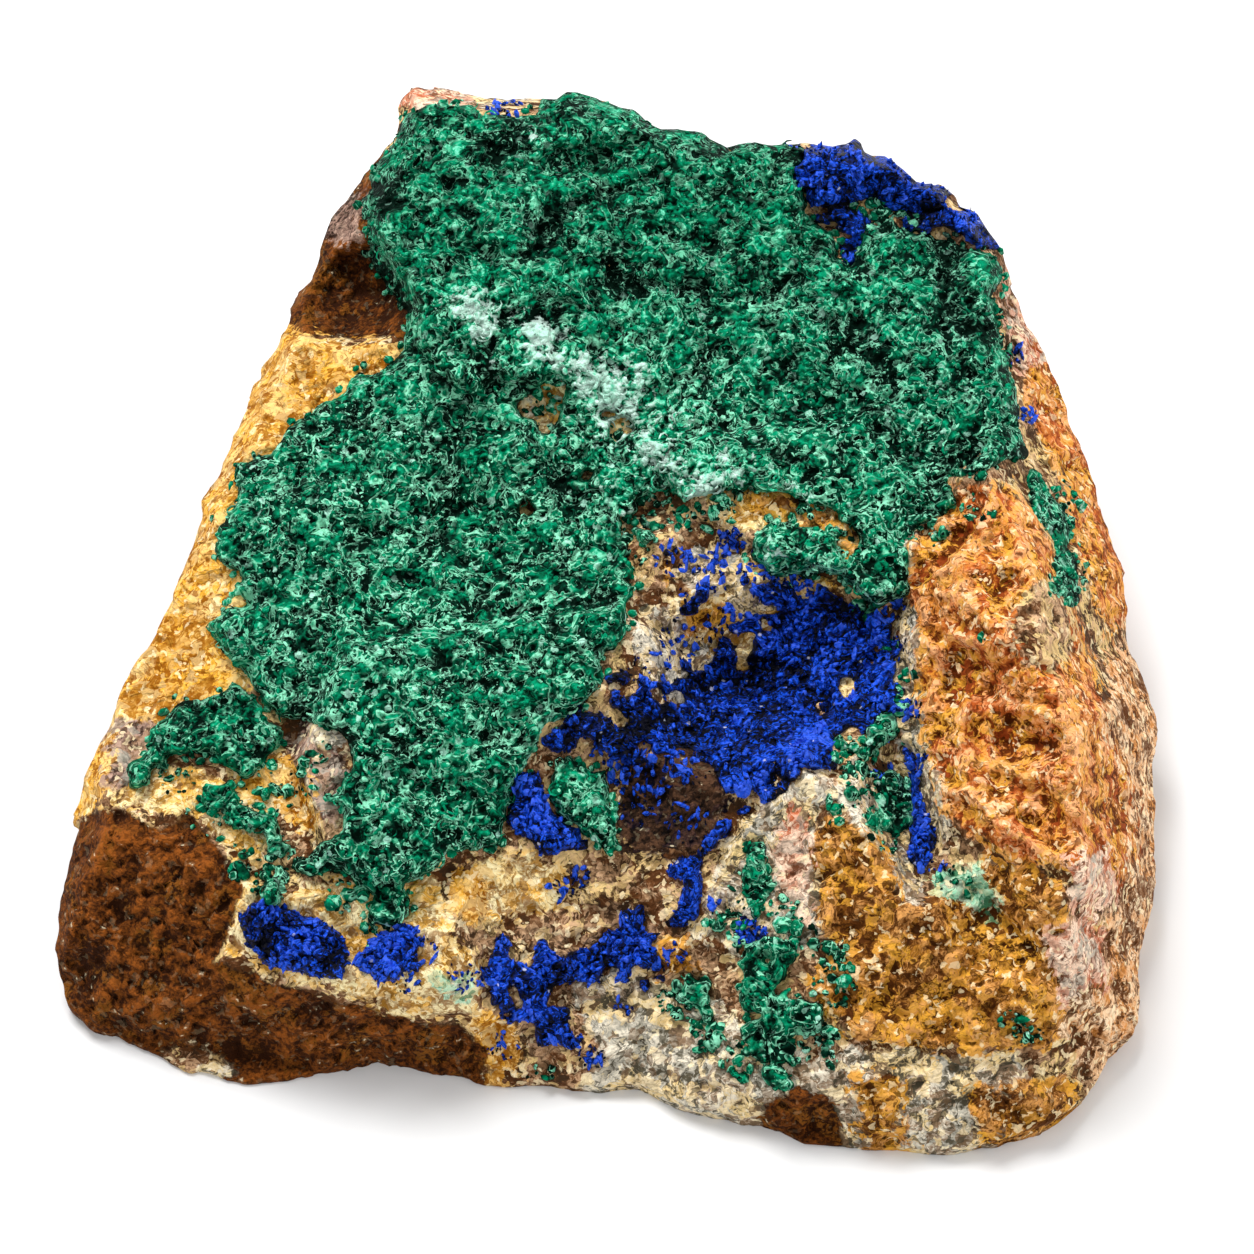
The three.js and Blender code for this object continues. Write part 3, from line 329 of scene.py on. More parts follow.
ZONES = [
    ("limonite", 0.8, [
        [(-21, 52), (-20, 36), (-21.5, 31), (-18.5, 25), (-18.4, 21.9), (-29.5, 21.9), (-34, 24), (-26, 42)],
    ]),
    ("mauve", 0.8, [
        [(-26, 38), (-22.6, 36), (-22.5, 32), (-25.6, 31.4), (-28.4, 33)],
        [(-26.3, -16), (-23.3, -18), (-22, -22), (-22.6, -25.8), (-25.2, -25.4), (-26.6, -22), (-28, -18)],
    ]),
    ("ochre", 0.9, [
        OCHRE_BORDER, [(-13.4, -30), (-9.4, -29.4), (-8.8, -31.6), (-9.4, -34.2), (-12.2, -35), (-14, -33)],
        [(-33, -19.4), (-28, -19.4), (-26, -22), (-25, -25.4), (-27.1, -26.4), (-29.4, -25), (-33, -23)],
        [(-11, -42.6), (-7.2, -43.6), (-6.6, -48), (-9.6, -48.6), (-11.2, -45.5)],
    ]),
    ("mauve", 0.6, [
        [(-42.6, -15.8), (-40, -16.2), (-39.6, -19.7), (-40.6, -22), (-42.2, -23.4), (-43.2, -21)],
        [(-19.6, -36), (-15, -34.6), (-12.6, -38), (-15.4, -41), (-19.4, -40.4)],
    ]),
    ("cream", 1.1, [
        [(-40, -19.6), (-35, -20.4), (-31, -23), (-28, -27), (-31.7, -30.4), (-35.4, -25), (-40, -24.4),
         (-44.4, -24.4)],
        [(-31.8, -31.6), (-26.4, -31.5), (-21, -31), (-14.3, -29.2), (-13.3, -35.5), (-11, -38.3),
         (-10.6, -43.8), (-17.5, -43), (-26.1, -40.4), (-33.4, -37.6), (-32.2, -35.1)],
        [(-10.4, -29.3), (-6.5, -28.5), (-2.5, -29.5), (-2, -32.4), (-5.6, -34.2), (-9.5, -34.2)],
        [(-4.6, 51), (-4.6, 45), (3, 43), (10, 40), (16, 40), (16, 50)],
        [(-9, 18), (-3, 18), (3, 15), (3, 10), (-2, 10), (-8, 13)],
        [(19.4, -12.6), (21.6, -11.4), (23.6, -12.6), (22.6, -15.2), (20.4, -14.4)],
        [(15.6, -2), (21, -2), (21, -6.4), (15.6, -6.4)],
        [(9.5, 6.8), (13, 6.4), (17, 5.4), (22, 4.6), (22, 1.4), (13.4, 2.4), (10, 2.6)],
        [(7.7, -0.5), (16.6, -1), (17.5, -6.4), (14.7, -9.3), (10.2, -13.1), (7.6, -10.2), (6.7, -4.4)],
    ]),
    ("white", 1.2, [
        [(-2.9, -40.1), (1.4, -38.3), (4.8, -40.4), (8.3, -41.6), (13.4, -45.4), (15.5, -49.9), (15, -56),
         (-4, -54), (-0.3, -45.4), (-2.9, -42.8)],
        [(19, -20.2), (14.5, -23.5), (11, -27.3), (8.3, -32.8), (7.4, -36.5), (11.7, -38.3), (15, -37),
         (18, -38), (19.4, -33), (18, -27), (19.8, -23.5)],
        [(22, -19.4), (25.9, -22), (27.6, -28), (28.3, -33.2), (26.4, -34.4), (23.1, -29.6), (20.4, -23.5)],
        [(3.2, -4.4), (6.7, -4.4), (7.6, -10.2), (6.7, -14.1), (3.2, -13.1), (2.3, -8.3)],
        [(6.4, 0.4), (12.6, 0.2), (13.4, -2.4), (9.4, -3.8), (7, -3.4)],
        [(11, -3), (16, -2.6), (16, -6), (11.4, -6.4)], [(6.2, -8.2), (9.9, -8.4), (9.8, -12.2), (7, -12.4)],
        [(15.4, -47.4), (21.7, -45.4), (27.9, -46.4), (35.2, -47), (38.4, -50.9), (31.9, -55), (23.6, -55.6),
         (19.4, -54.1), (17.4, -50.9)],
        [(-26.8, -16.3), (-25, -16.7), (-22.6, -17.7), (-23.3, -19), (-25.4, -18.7)],
        [(-14, 51), (-13, 46), (-6, 46), (-4.6, 44.4), (-4.6, 51)],
        [(26, 2), (26.4, -6), (25.4, -13), (25.8, -20), (28, -26.6), (31, -28), (31, -22), (30.2, -14),
         (29.6, -6), (29.6, 2.4)],
        [(-8, 16.6), (-5.4, 16.8), (-4.6, 14.4), (-7, 14)],
        [(-33, -45.4), (-29, -46.4), (-28, -52), (-33, -51)],
    ]),
    ("rust", 0.9, [
        [(27.4, 1), (29.8, 3), (31.7, 6.9), (36.7, 7.4), (39.7, 3.5), (41.7, -3.4), (43, -9), (44.8, -16),
         (47, -20), (48.3, -23.5), (46.5, -32.8), (43, -32.8), (39.7, -30), (34.5, -29.1), (31.1, -26.3),
         (28.9, -22), (28, -14.1), (27.4, -6.4)],
        [(37.6, 24), (38, 30), (60, 30), (60, -5), (46.4, -5), (44.6, -8), (43, -2), (41.4, 6), (39.2, 13),
         (37.6, 20)],
    ]),
    ("amber", 1.2, [
        [(28.3, -31.8), (33.3, -29.5), (40, -31), (41, -42.8), (38, -46.5), (29.6, -46.6), (21.9, -45),
         (17.6, -42.9), (18.2, -39), (25.5, -37.3), (26.9, -34.6)],
        [(19.2, -24.4), (21.6, -25.2), (24.4, -28.9), (27, -34.7), (29.2, -38.9), (28, -44.4), (21.7, -44),
         (19.6, -38.9), (18.8, -33.4), (17.6, -28.4)],
        [(12.7, 6.6), (16.8, 7.2), (16.9, 4.9), (13.6, 4.4)],
        [(17.6, 4.6), (22.4, 4.6), (22.3, 2.3), (18.1, 2.3)],
        [(3.2, -0.5), (5.9, -0.5), (6, -3.4), (3.6, -3.6)],
        [(6.6, -5.4), (10.6, -5), (11.6, -6.6), (8, -7.6)],
        [(4.1, -36.3), (7.4, -35.6), (8, -39.1), (4.6, -40.2)],
        [(20.6, 2.2), (22.6, 0.8), (23.6, -1.4), (22, -1)],
        [(20.6, -48.6), (25, -48), (26, -53), (22, -54.4)],
        [(30, -49.6), (38, -48.6), (41, -50), (36, -53.6), (31, -53)],
    ]),
    ("tan", 0.9, [
        [(45.6, -6), (44.2, -10), (44.6, -16), (45.6, -22), (46, -28), (44, -33), (41, -38), (39, -44.4),
         (41, -50), (60, -50), (60, -6)],
    ]),
    ("dull", 0.9, [
        [(36.5, -4.4), (39.1, -2.5), (41.5, -4.4), (41.7, -9.2), (39.9, -11.3), (37.3, -10.4), (36.1, -7.5)],
        [(-0.4, 7.4), (5, 6), (6.4, 1), (5, -4.4), (2.7, -3.4), (0, 3)], [(23, 7), (26, 7), (25, 3), (23, 4)],
    ]),
    ("limonite", 0.5, [
        LIMONITE_CORNER, [(11.2, -51.2), (16.7, -49.6), (19.8, -51.2), (20.2, -58), (12, -58)],
        [(34.6, -52.9), (39, -50.6), (42.4, -47.4), (44.8, -43.8), (48, -44), (46, -54), (36, -57)],
    ]),
    ("dark", 0.8, [
        [(2.6, -20.4), (6, -17.4), (9.6, -18), (10.6, -24), (9.6, -27.6), (6.6, -29.1), (1.8, -28.2),
         (0.6, -24.5)],
    ]),
    ("verdigris", 0.9, [
        [(28.8, -30), (32.3, -29.6), (34.3, -33.2), (33.8, -35.1), (30.9, -33.2), (28.3, -32.3)],
        [(-14.6, -39.6), (-11.2, -39.2), (-10.9, -41.5), (-13.7, -41.8)],
    ]),
    ("pink", 1.0, [
        [(38.5, -36.3), (41.6, -34.5), (43.7, -36.4), (42.7, -40.5), (39.6, -41.9)],
        [(-20.6, 52), (-13, 49), (-13, 46), (-19, 44.6), (-23, 44)],
        [(16.2, -24), (18, -24.4), (18.4, -30), (17.6, -35), (15.6, -34), (15, -28)],
        [(36.4, 31), (38, 26), (39.4, 19), (38.2, 18.6), (36.8, 24)],
        [(40.6, -29), (43.6, -28), (44.4, -33), (41, -34.4)],
    ]),
]

# Where small growths lie loose on the rock: centre, radius, how many
GREEN_SPECKS = [
    (-37.5, -21.5, 1.6, 12), (-31, -21, 2.2, 14), (-28.5, -23, 1.8, 14), (-26.3, -21.5, 1.6, 12),
    (-25.5, -19, 1.4, 8), (-29.3, -30.6, 2.2, 22), (-22.4, -32.6, 1.8, 14), (-19, -36, 1.9, 26),
    (-31.7, -30.3, 0.7, 9), (-35, -25, 2, 12), (11.6, -33.5, 1, 8), (9.8, -34.6, 1, 10),
    (15.4, -33.5, 1.4, 10), (16.8, -36, 1.7, 16), (12, -36.4, 1.5, 14), (19.5, -37.6, 1.6, 14),
    (19.8, -40.5, 2.2, 24), (6, -41.5, 1.7, 20), (8.6, -44.8, 1.9, 20), (11.6, -47.4, 1.6, 16),
    (18.8, -46.2, 1.6, 14), (-5.5, -48.6, 1.2, 10), (22.6, -21.6, 1.9, 30), (23.6, -24.2, 1.9, 26),
    (21.4, -19.4, 1.8, 26), (24.6, -27, 1.4, 12), (20.2, -24.6, 1.2, 8), (35.2, -44, 1.3, 12),
    (36.8, -45.2, 1, 8), (33.5, -8, 0.6, 3), (30, 2, 1.2, 8), (33.6, 4.6, 1.4, 8), (15, -11.6, 0.9, 9),
    (13.2, -13.8, 0.8, 8), (15.8, -15.6, 0.8, 8), (12.9, -16.8, 0.6, 6), (24.8, -14.6, 1.8, 46),
    (25.4, -9, 1, 10), (22.6, -6.4, 1.6, 18), (0, 4, 2.4, 26), (4.6, 4.4, 2.2, 24), (8, 3.4, 1.6, 14),
    (11, 4.8, 1.6, 14), (2.6, 0.4, 1.6, 12), (-1.5, 0.5, 1.6, 16), (18.4, 5, 1.2, 10), (20.6, 1.2, 1.6, 16),
    (30.4, -31, 1.6, 10), (27, -12, 0.8, 8), (-6, 15.5, 1.8, 12), (0.4, 12.4, 1.4, 10), (21, 38, 2.4, 60),
    (25, 35, 2, 40), (28.6, 34.6, 1.2, 16), (41, 5, 2.4, 20), (41.6, -2, 2, 14), (-14.6, 47.2, 1.2, 10),
    (13, -31, 2.2, 12),
]
BLUE_SPECKS = [
    (11.4, 1.4, 1.2, 34), (17, -4, 1.8, 30), (8.6, -2.4, 2.6, 18), (6.6, -8.4, 2.2, 20), (11, -7, 2.2, 24),
    (4, -11, 1.8, 16), (14, -1.6, 2, 26), (26, -9, 1.2, 16), (27, -15, 1.2, 14), (27.6, -20, 1, 12),
    (25.8, -5, 1.2, 14), (4.4, -20.6, 2.6, 46), (7.6, -20.2, 2, 30), (3, -24, 2, 22), (7, -25.6, 2, 16),
    (6.4, -37.4, 1, 10), (12.6, -35.7, 1.3, 44), (9.6, -33.1, 0.5, 8), (-3.4, -31.4, 1.6, 18),
    (-2, -30.6, 1, 12), (-12, -39.6, 1.6, 18), (-8.6, -46, 1.3, 14), (-1, -47, 1.2, 14), (1.6, -42.6, 1, 8),
    (4.8, -38.4, 1, 12), (28.6, 29.3, 0.7, 9), (28.7, 23.7, 0.7, 9), (25.3, 29.6, 0.6, 7),
    (-9.5, 46.8, 1.8, 18), (37.8, 20, 1, 12), (38.6, 14, 1, 12), (-17, -40.4, 1.2, 14),
    (-15.6, -37.4, 1.2, 12), (6, -0.4, 1.6, 16), (24, -16.4, 1.6, 16), (0, -18.4, 2, 20),
    (1.4, -20.4, 1.6, 16), (9.6, -1, 1.4, 16), (29, -29.6, 0.9, 8), (24.2, -20.6, 1, 12),
]

# Numbers from 0 to 1, and noise, over whole arrays


def hashed(i, j, seed):
    """A number from 0 to 1 that belongs to a whole-number grid point: the fraction of a large sine."""
    s = np.sin(i * 127.1 + j * 311.7 + seed * 74.7) * 43758.5453
    return s - np.floor(s)


def eased(t):
    """0 to 1 with level ends: 3 t squared less 2 t cubed."""
    t = np.clip(t, 0, 1)
    return t * t * (3 - 2 * t)


def noise(x, y, seed):
    """Smooth noise from -1 to 1, one wave to a unit: grid values eased into each other."""
    i, j = np.floor(x), np.floor(y)
    a, b = eased(x - i), eased(y - j)
    low = hashed(i, j, seed) * (1 - a) + hashed(i + 1, j, seed) * a
    high = hashed(i, j + 1, seed) * (1 - a) + hashed(i + 1, j + 1, seed) * a
    return 2 * (low * (1 - b) + high * b) - 1


def rough(u, v, size, octaves, seed):
    """Noise in octaves, each half the size and half the strength of the last."""
    return sum(noise(u * 2 ** k / size, v * 2 ** k / size, seed + k) / 2 ** k
               for k in range(octaves))


def swirl(x, y, seed):
    """Gradient noise from about -1 to 1: slopes at the grid points, eased into each other."""
    i, j = np.floor(x), np.floor(y)
    a, b = eased(x - i), eased(y - j)

    def slope(di, dj):
        turn = 2 * np.pi * hashed(i + di, j + dj, seed)
        return np.cos(turn) * (x - i - di) + np.sin(turn) * (y - j - dj)

    low = slope(0, 0) * (1 - a) + slope(1, 0) * a
    high = slope(0, 1) * (1 - a) + slope(1, 1) * a
    return 1.5 * (low * (1 - b) + high * b)


def curls(u, v, size, seed, sharp=2.2):
    """Curled ridges: 1 on the zero lines of warped gradient noise, falling off to 0 between them."""
    x, y = u / size, v / size
    wx = x + 0.45 * swirl(x * 1.3, y * 1.3, seed + 1)
    wy = y + 0.45 * swirl(x * 1.3, y * 1.3, seed + 2)
    return np.clip(1 - sharp * np.abs(swirl(wx, wy, seed)), 0, 1)


def grains(u, v, size, seed):
    """The nearest of a grid's jittered points: its offset, its two numbers, its distance, and how much
    further the next nearest is."""
    x, y = u / size, v / size
    i0, j0 = np.floor(x), np.floor(y)
    near, second = np.full(np.shape(x), 9.0), np.full(np.shape(x), 9.0)
    found = np.zeros((4, *np.shape(x)))
    for di in (-1, 0, 1):
        for dj in (-1, 0, 1):
            i, j = i0 + di, j0 + dj
            du, dv = x - i - hashed(i, j, seed), y - j - hashed(i, j, seed + 1)
            distance = np.hypot(du, dv)
            closer = distance < near
            second = np.where(closer, near, np.minimum(second, distance))
            near = np.where(closer, distance, near)
            numbers = hashed(i, j, seed + 2), hashed(i, j, seed + 3)
            found = np.where(closer, np.stack([du, dv, *numbers]), found)
    return *found, near, second - near


def crystal_faces(u, v, size, seed):
    """Crystal faces side by side: each is a slanted plane of its own height, with a groove round it."""
    du, dv, first, other, _, gap = grains(u, v, size, seed)
    slant = 1.5 * ((2 * first - 1) * du + (2 * other - 1) * dv)
    level = 1.2 * (np.mod(7.3 * first + 3.1 * other, 1) - 0.5)
    return size * (0.45 * slant + 0.45 * level - 0.35 * np.exp(-9 * gap))


def knobs(u, v, size, seed):
    """Round knobs side by side: the upper part of a ball over each jittered point, 0 to 1."""
    near = grains(u, v, size, seed)[4]
    return np.sqrt(np.clip(1 - (near / 0.75) ** 2, 0, 1))


# The relief over the display face, as the solids have it


def nearest(line, u, v, closed=False):
    """Distance to a line, and the values kept at its points, read at the nearest place on it."""
    points = np.array(line, float)
    count = len(points) - (0 if closed else 1)
    best = np.full(np.shape(u), np.inf)
    values = np.zeros((points.shape[1] - 2, *np.shape(u)))
    for start, end in zip(points[:count], np.roll(points, -1, axis=0)[:count]):
        du, dv = end[:2] - start[:2]
        share = np.clip(((u - start[0]) * du + (v - start[1]) * dv) / (du * du + dv * dv), 0, 1)
        distance = np.hypot(u - start[0] - share * du, v - start[1] - share * dv)
        closer = distance < best
        best = np.where(closer, distance, best)
        for kept, low, high in zip(values, start[2:], end[2:]):
            kept[closer] = (low + share * (high - low))[closer]
    return best, values


def is_inside(outline, u, v):
    """Whether points lie inside an outline: an odd number of its sides pass to their right."""
    inside = np.zeros(np.shape(u), bool)
    points = np.array(outline, float)[:, :2]
    for (au, av), (bu, bv) in zip(points, np.roll(points, -1, axis=0)):
        if av != bv:
            inside ^= ((av > v) != (bv > v)) & (u < (bu - au) * (v - av) / (bv - av) + au)
    return inside


def depth_inside(outline, u, v):
    """How far a point lies inside an outline; negative outside."""
    distance, _ = nearest(outline, u, v, closed=True)
    return np.where(is_inside(outline, u, v), distance, -distance)


def rounded_min(a, b, radius):
    """The lower of two heights, rounded where they meet."""
    mix = np.clip(0.5 + (b - a) / (2 * radius), 0, 1)
    return b + (a - b) * mix - radius * mix * (1 - mix)


def bench_height(u, v, outline, rise, edge, fade, fades_in):
    """A raised ground with a rounded edge, which loses its height between two points."""
    inside = eased(depth_inside(outline, u, v) / edge)
    (fu, fv), (tu, tv) = fade
    faded = eased(((u - fu) * (tu - fu) + (v - fv) * (tv - fv)) / ((tu - fu) ** 2 + (tv - fv) ** 2))
    return rise * inside * (faded if fades_in else 1 - faded)


def crag_height(u, v):
    """The crag climbs from its foot line to its crest line, and falls away behind it."""
    low, _ = nearest(CRAG_FOOT, u, v)
    top, (rise,) = nearest(CRAG_CREST, u, v)
    face = is_inside(CRAG_FOOT + [point[:2] for point in CRAG_CREST[::-1]], u, v)
    behind = np.where(top < low, rise * np.maximum(0, 1 - top / CRAG_FALL), 0)
    return np.where(face, rise * (low / (low + top + 1e-9)) ** CRAG_POWER, behind)


def ridge_height(u, v, width, crest):
    """A crest line with straight flanks that steepen a little towards the top."""
    distance, (rise,) = nearest(crest, u, v)
    return rise * np.maximum(0, 1 - distance / width) ** 1.2


def mound_height(u, v, at, radii, turn, rise):
    """A round mound, or a hollow: rise times (1 less the squared distance in radii) to the power 1.3."""
    c, s = math.cos(math.radians(turn)), math.sin(math.radians(turn))
    du, dv = u - at[0], v - at[1]
    a, b = (du * c + dv * s) / radii[0], (dv * c - du * s) / radii[1]
    return rise * np.maximum(0, 1 - a * a - b * b) ** 1.3


def facet_height(u, v, corners):
    """The plane through three points."""
    a, b, c = np.array(corners, float)
    across = (b[0] - a[0]) * (c[1] - a[1]) - (c[0] - a[0]) * (b[1] - a[1])
    s = ((u - a[0]) * (c[1] - a[1]) - (c[0] - a[0]) * (v - a[1])) / across
    t = ((b[0] - a[0]) * (v - a[1]) - (u - a[0]) * (b[1] - a[1])) / across
    return a[2] + s * (b[2] - a[2]) + t * (c[2] - a[2])


def face_points(u, v):
    """The display face's points, and the directions from there to the viewpoint."""
    points = np.stack([u, v, FACE_HEIGHT + FACE_RISE * v], -1)
    up = VIEWPOINT - points
    return points, up / np.linalg.norm(up, axis=-1, keepdims=True)


def height_of_level(level, u, v):
    """Height in face coordinates of a level over the base."""
    points, up = face_points(u, v)
    return (level - points[..., 2]) / up[..., 2]


OUTLINE = FRONT_SIDE + RIGHT_SIDE[1:] + BACK_SIDE[1:] + LEFT_SIDE[1:-1]
RIM_HEIGHTS = nearest(WALL_STATIONS, *np.array(OUTLINE, float).T, closed=True)[1]
RIM = [(u, v, height, slope) for (u, v), height, slope in zip(OUTLINE, *RIM_HEIGHTS)]


def wall_height(u, v):
    """The lowest of the walls that climb inwards from the rim; outside it, a little below the nearest rim."""
    lowest = np.full(np.shape(u), np.inf)
    for start, end in zip(RIM, RIM[1:] + RIM[:1]):
        distance, (level, slope) = nearest([start, end], u, v)
        lowest = np.minimum(lowest, height_of_level(level, u, v) + slope * distance)
    distance, (level, slope) = nearest(RIM, u, v, closed=True)
    outside = height_of_level(level, u, v) - slope * np.minimum(distance, 0.4)
    return np.where(is_inside(OUTLINE, u, v), lowest, outside)


def ground(u, v):
    """Height of the bare rock: noise, benches, crag, ridges and mounds, cut by facets and walls."""
    h = 0.8 * rough(u, v, 14, 3, 3)
    for bench in BENCHES:
        h = h + bench_height(u, v, *bench)
    crag = crag_height(u, v)
    h += crag + np.minimum(crag / 5, 1) * 1.1 * rough(u, v, 7, 2, 23)
    h += np.max([ridge_height(u, v, *ridge) for ridge in RIDGES], axis=0)
    for mound in MOUNDS:
        h += mound_height(u, v, *mound)
    for corners in FACETS:
        h = rounded_min(h, facet_height(u, v, corners) + 0.5 * rough(u, v, 6, 2, 11), 0.6)
    h = rounded_min(h, wall_height(u, v) + 0.7 * rough(u, v, 7, 2, 17), 0.8)
    return np.maximum(h, height_of_level(RIM_FLOOR, u, v))


def drawn_in(u, v):
    """Face points, those outside the rock moved to its nearest rim, and how far inside they lie."""
    distance, (nu, nv) = nearest([(a, b, a, b) for a, b in OUTLINE], u, v, closed=True)
    inside = is_inside(OUTLINE, u, v)
    return np.where(inside, u, nu), np.where(inside, v, nv), np.where(inside, distance, 0)


def frayed(u, v):
    """Face points pushed sideways by noise, most near the outline, so that the silhouette is lumpy."""
    room = nearest(OUTLINE, u, v, closed=True)[0]
    lumpy = 0.22 + 0.7 * np.exp(-((u - 26) ** 2 + (v - 40) ** 2) / 90) + 0.3 * eased((v - 34) / 8)
    reach = (0.08 + lumpy * np.exp(-room / 1.6)) * eased((v + 56) / 8)
    return u + reach * rough(u, v, 2.6, 3, 161), v + reach * rough(u, v, 2.6, 3, 171)


def placed(u, v, h):
    """Face coordinates in millimetres to metres in the specimen's own frame, its tips pressed down."""
    points, up = face_points(*frayed(u, v))
    place = points + up * h[..., None] - CENTRE
    place[..., 2] -= TIP_SQUEEZE * np.maximum(place[..., 2] - TIP_LEVEL, 0)
    return MM * place


def smoothed(values, reach):
    """Each value of a grid averaged with those up to reach points away, twice over."""
    for _ in range(2):
        for axis in (0, 1):
            count = values.shape[axis]
            sums = np.insert(np.cumsum(values, axis=axis), 0, 0, axis=axis)
            low = np.clip(np.arange(count) - reach, 0, count)
            high = np.clip(np.arange(count) + reach + 1, 0, count)
            wide = np.expand_dims(high - low, 1 - axis)
            values = (np.take(sums, high, axis=axis) - np.take(sums, low, axis=axis)) / wide
    return values


# Zones of the rock's finishes


def zone_depth(areas, u, v):
    """How far a point lies inside the nearest of several outlines, to ZONE_REACH either way."""
    depth = np.max([depth_inside(area, u, v) for area in areas], axis=0)
    return np.clip(depth, -ZONE_REACH, ZONE_REACH)


def zones_at(u, v):
    """The depth in each finish's zone, and its cover from 0 to 1 with a wandering border."""
    depths, covers = {}, {}
    for number, (name, ragged, areas) in enumerate(ZONES):
        depth = zone_depth(areas, u, v) + 0.5 * ragged * rough(u, v, 3.1, 2, 300 + number)
        depths[f"{name}_{number}"] = depth
        covers[name] = np.maximum(covers.get(name, 0), eased(depth / 1.2 + 0.5))
    return depths, covers


def rock_grain(u, v, covers):
    """The rock's fine relief in millimetres: worn noise, and each zone's own texture by its cover."""
    worn = 0.5 * rough(u, v, 3.2, 3, 101) + 0.5 * knobs(u, v, 1.5, 103)
    worn = worn + 0.35 * curls(u, v, 1.5, 107) - 0.5
    granular = crystal_faces(u, v, 1.3, 111) * 0.8 + 0.5 * curls(u, v, 1.3, 115)
    granular = granular + 0.4 * rough(u, v, 3, 3, 113) - 0.4
    rugged = 1.7 * curls(u + 0.3 * v, v * 0.8, 4.4, 121, 1.5) + 0.6 * knobs(u, v, 1.8, 123)
    rugged = rugged + 0.8 * curls(u, v, 1.7, 125) + 0.4 * curls(u, v, 0.9, 127) - 1.3
    streaked = 1.1 * curls(u * 1.3 + 0.3 * v, v * 0.4, 2, 131, 1.6)
    streaked = streaked + 0.5 * curls(u * 1.4, v * 0.6, 1.1, 135) - 0.6
    lumpy = 0.75 * knobs(u, v, 1.7, 141) + 0.4 * knobs(u, v, 0.9, 143)
    lumpy = lumpy + 0.45 * curls(u, v, 1.4, 145) - 0.8
    textures = {
        "cream": lumpy, "white": lumpy, "rust": rugged, "amber": lumpy + 0.5 * rugged,
        "tan": streaked, "limonite": granular, "dark": rugged * 0.5 + lumpy * 0.6,
    }
    grain = worn
    for name, texture in textures.items():
        grain = grain * (1 - covers[name]) + texture * covers[name]
    return grain


def rock_height(u, v):
    """Height of the rock with its fine relief."""
    return ground(u, v) + rock_grain(u, v, zones_at(u, v)[1])


# Meshes


def evenly(line, count):
    """Points at equal distances along a line."""
    points = np.array(line, float)
    along = np.concatenate([[0], np.cumsum(np.hypot(*np.diff(points, axis=0).T))])
    at = np.linspace(0, along[-1], count + 1)
    return np.stack([np.interp(at, along, points[:, k]) for k in (0, 1)], -1)


def stretched_sheet(step):
    """Face points in rows and columns, stretched between the four sides of the outline."""
    columns, rows = round(ROCK_WIDTH / step), round(ROCK_DEPTH / step)
    front, back = evenly(FRONT_SIDE, columns)[None], evenly(BACK_SIDE, columns)[::-1][None]
    right, left = evenly(RIGHT_SIDE, rows)[:, None], evenly(LEFT_SIDE, rows)[::-1][:, None]
    a = np.linspace(0, 1, columns + 1)[None, :, None]
    b = np.linspace(0, 1, rows + 1)[:, None, None]
    low = (1 - a) * front[:, :1] + a * front[:, -1:]
    high = (1 - a) * back[:, :1] + a * back[:, -1:]
    return (1 - b) * (front - low) + b * (back - high) + (1 - a) * left + a * right


def mesh_piece(name, points, faces, attributes=None, smooth=True, material=None):
    """A new object from points in metres and groups of faces with as many sides, and values at points."""
    mesh = bpy.data.meshes.new(name)
    mesh.vertices.add(len(points))
    mesh.vertices.foreach_set("co", np.asarray(points, np.float32).ravel())
    corners = np.concatenate([np.asarray(group).ravel() for group in faces])
    sizes = np.concatenate([np.full(len(group), np.shape(group)[1]) for group in faces])
    mesh.loops.add(len(corners))
    mesh.loops.foreach_set("vertex_index", corners.astype(np.int32))
    mesh.polygons.add(len(sizes))
    starts = np.concatenate([[0], np.cumsum(sizes)[:-1]])
    mesh.polygons.foreach_set("loop_start", starts.astype(np.int32))
    mesh.update(calc_edges=True)
    mesh.validate()
    for key, values in (attributes or {}).items():
        kept = mesh.attributes.new(key, "FLOAT", "POINT")
        kept.data.foreach_set("value", np.asarray(values, np.float32))
    mesh.polygons.foreach_set("use_smooth", np.full(len(sizes), smooth))
    piece = bpy.data.objects.new(name, mesh)
    bpy.context.scene.collection.objects.link(piece)
    mesh.materials.append(material)
    return piece


def grid_quads(ids):
    """The quads of a grid of point numbers, front row first."""
    return np.stack([ids[:-1, :-1], ids[:-1, 1:], ids[1:, 1:], ids[1:, :-1]], -1).reshape(-1, 4)


def border_of(ids):
    """The point numbers round a grid's border, from its first corner to the right."""
    return np.concatenate([ids[0, :-1], ids[:-1, -1], ids[-1, :0:-1], ids[:0:-1, 0]])


def band_quads(upper, lower):
    """The quads of the band between two rings, the second below the first."""
    return np.stack([upper, lower, np.roll(lower, -1), np.roll(upper, -1)], -1)


WALL_BANDS = 16
BASE_RINGS = (0.75, 0.4)


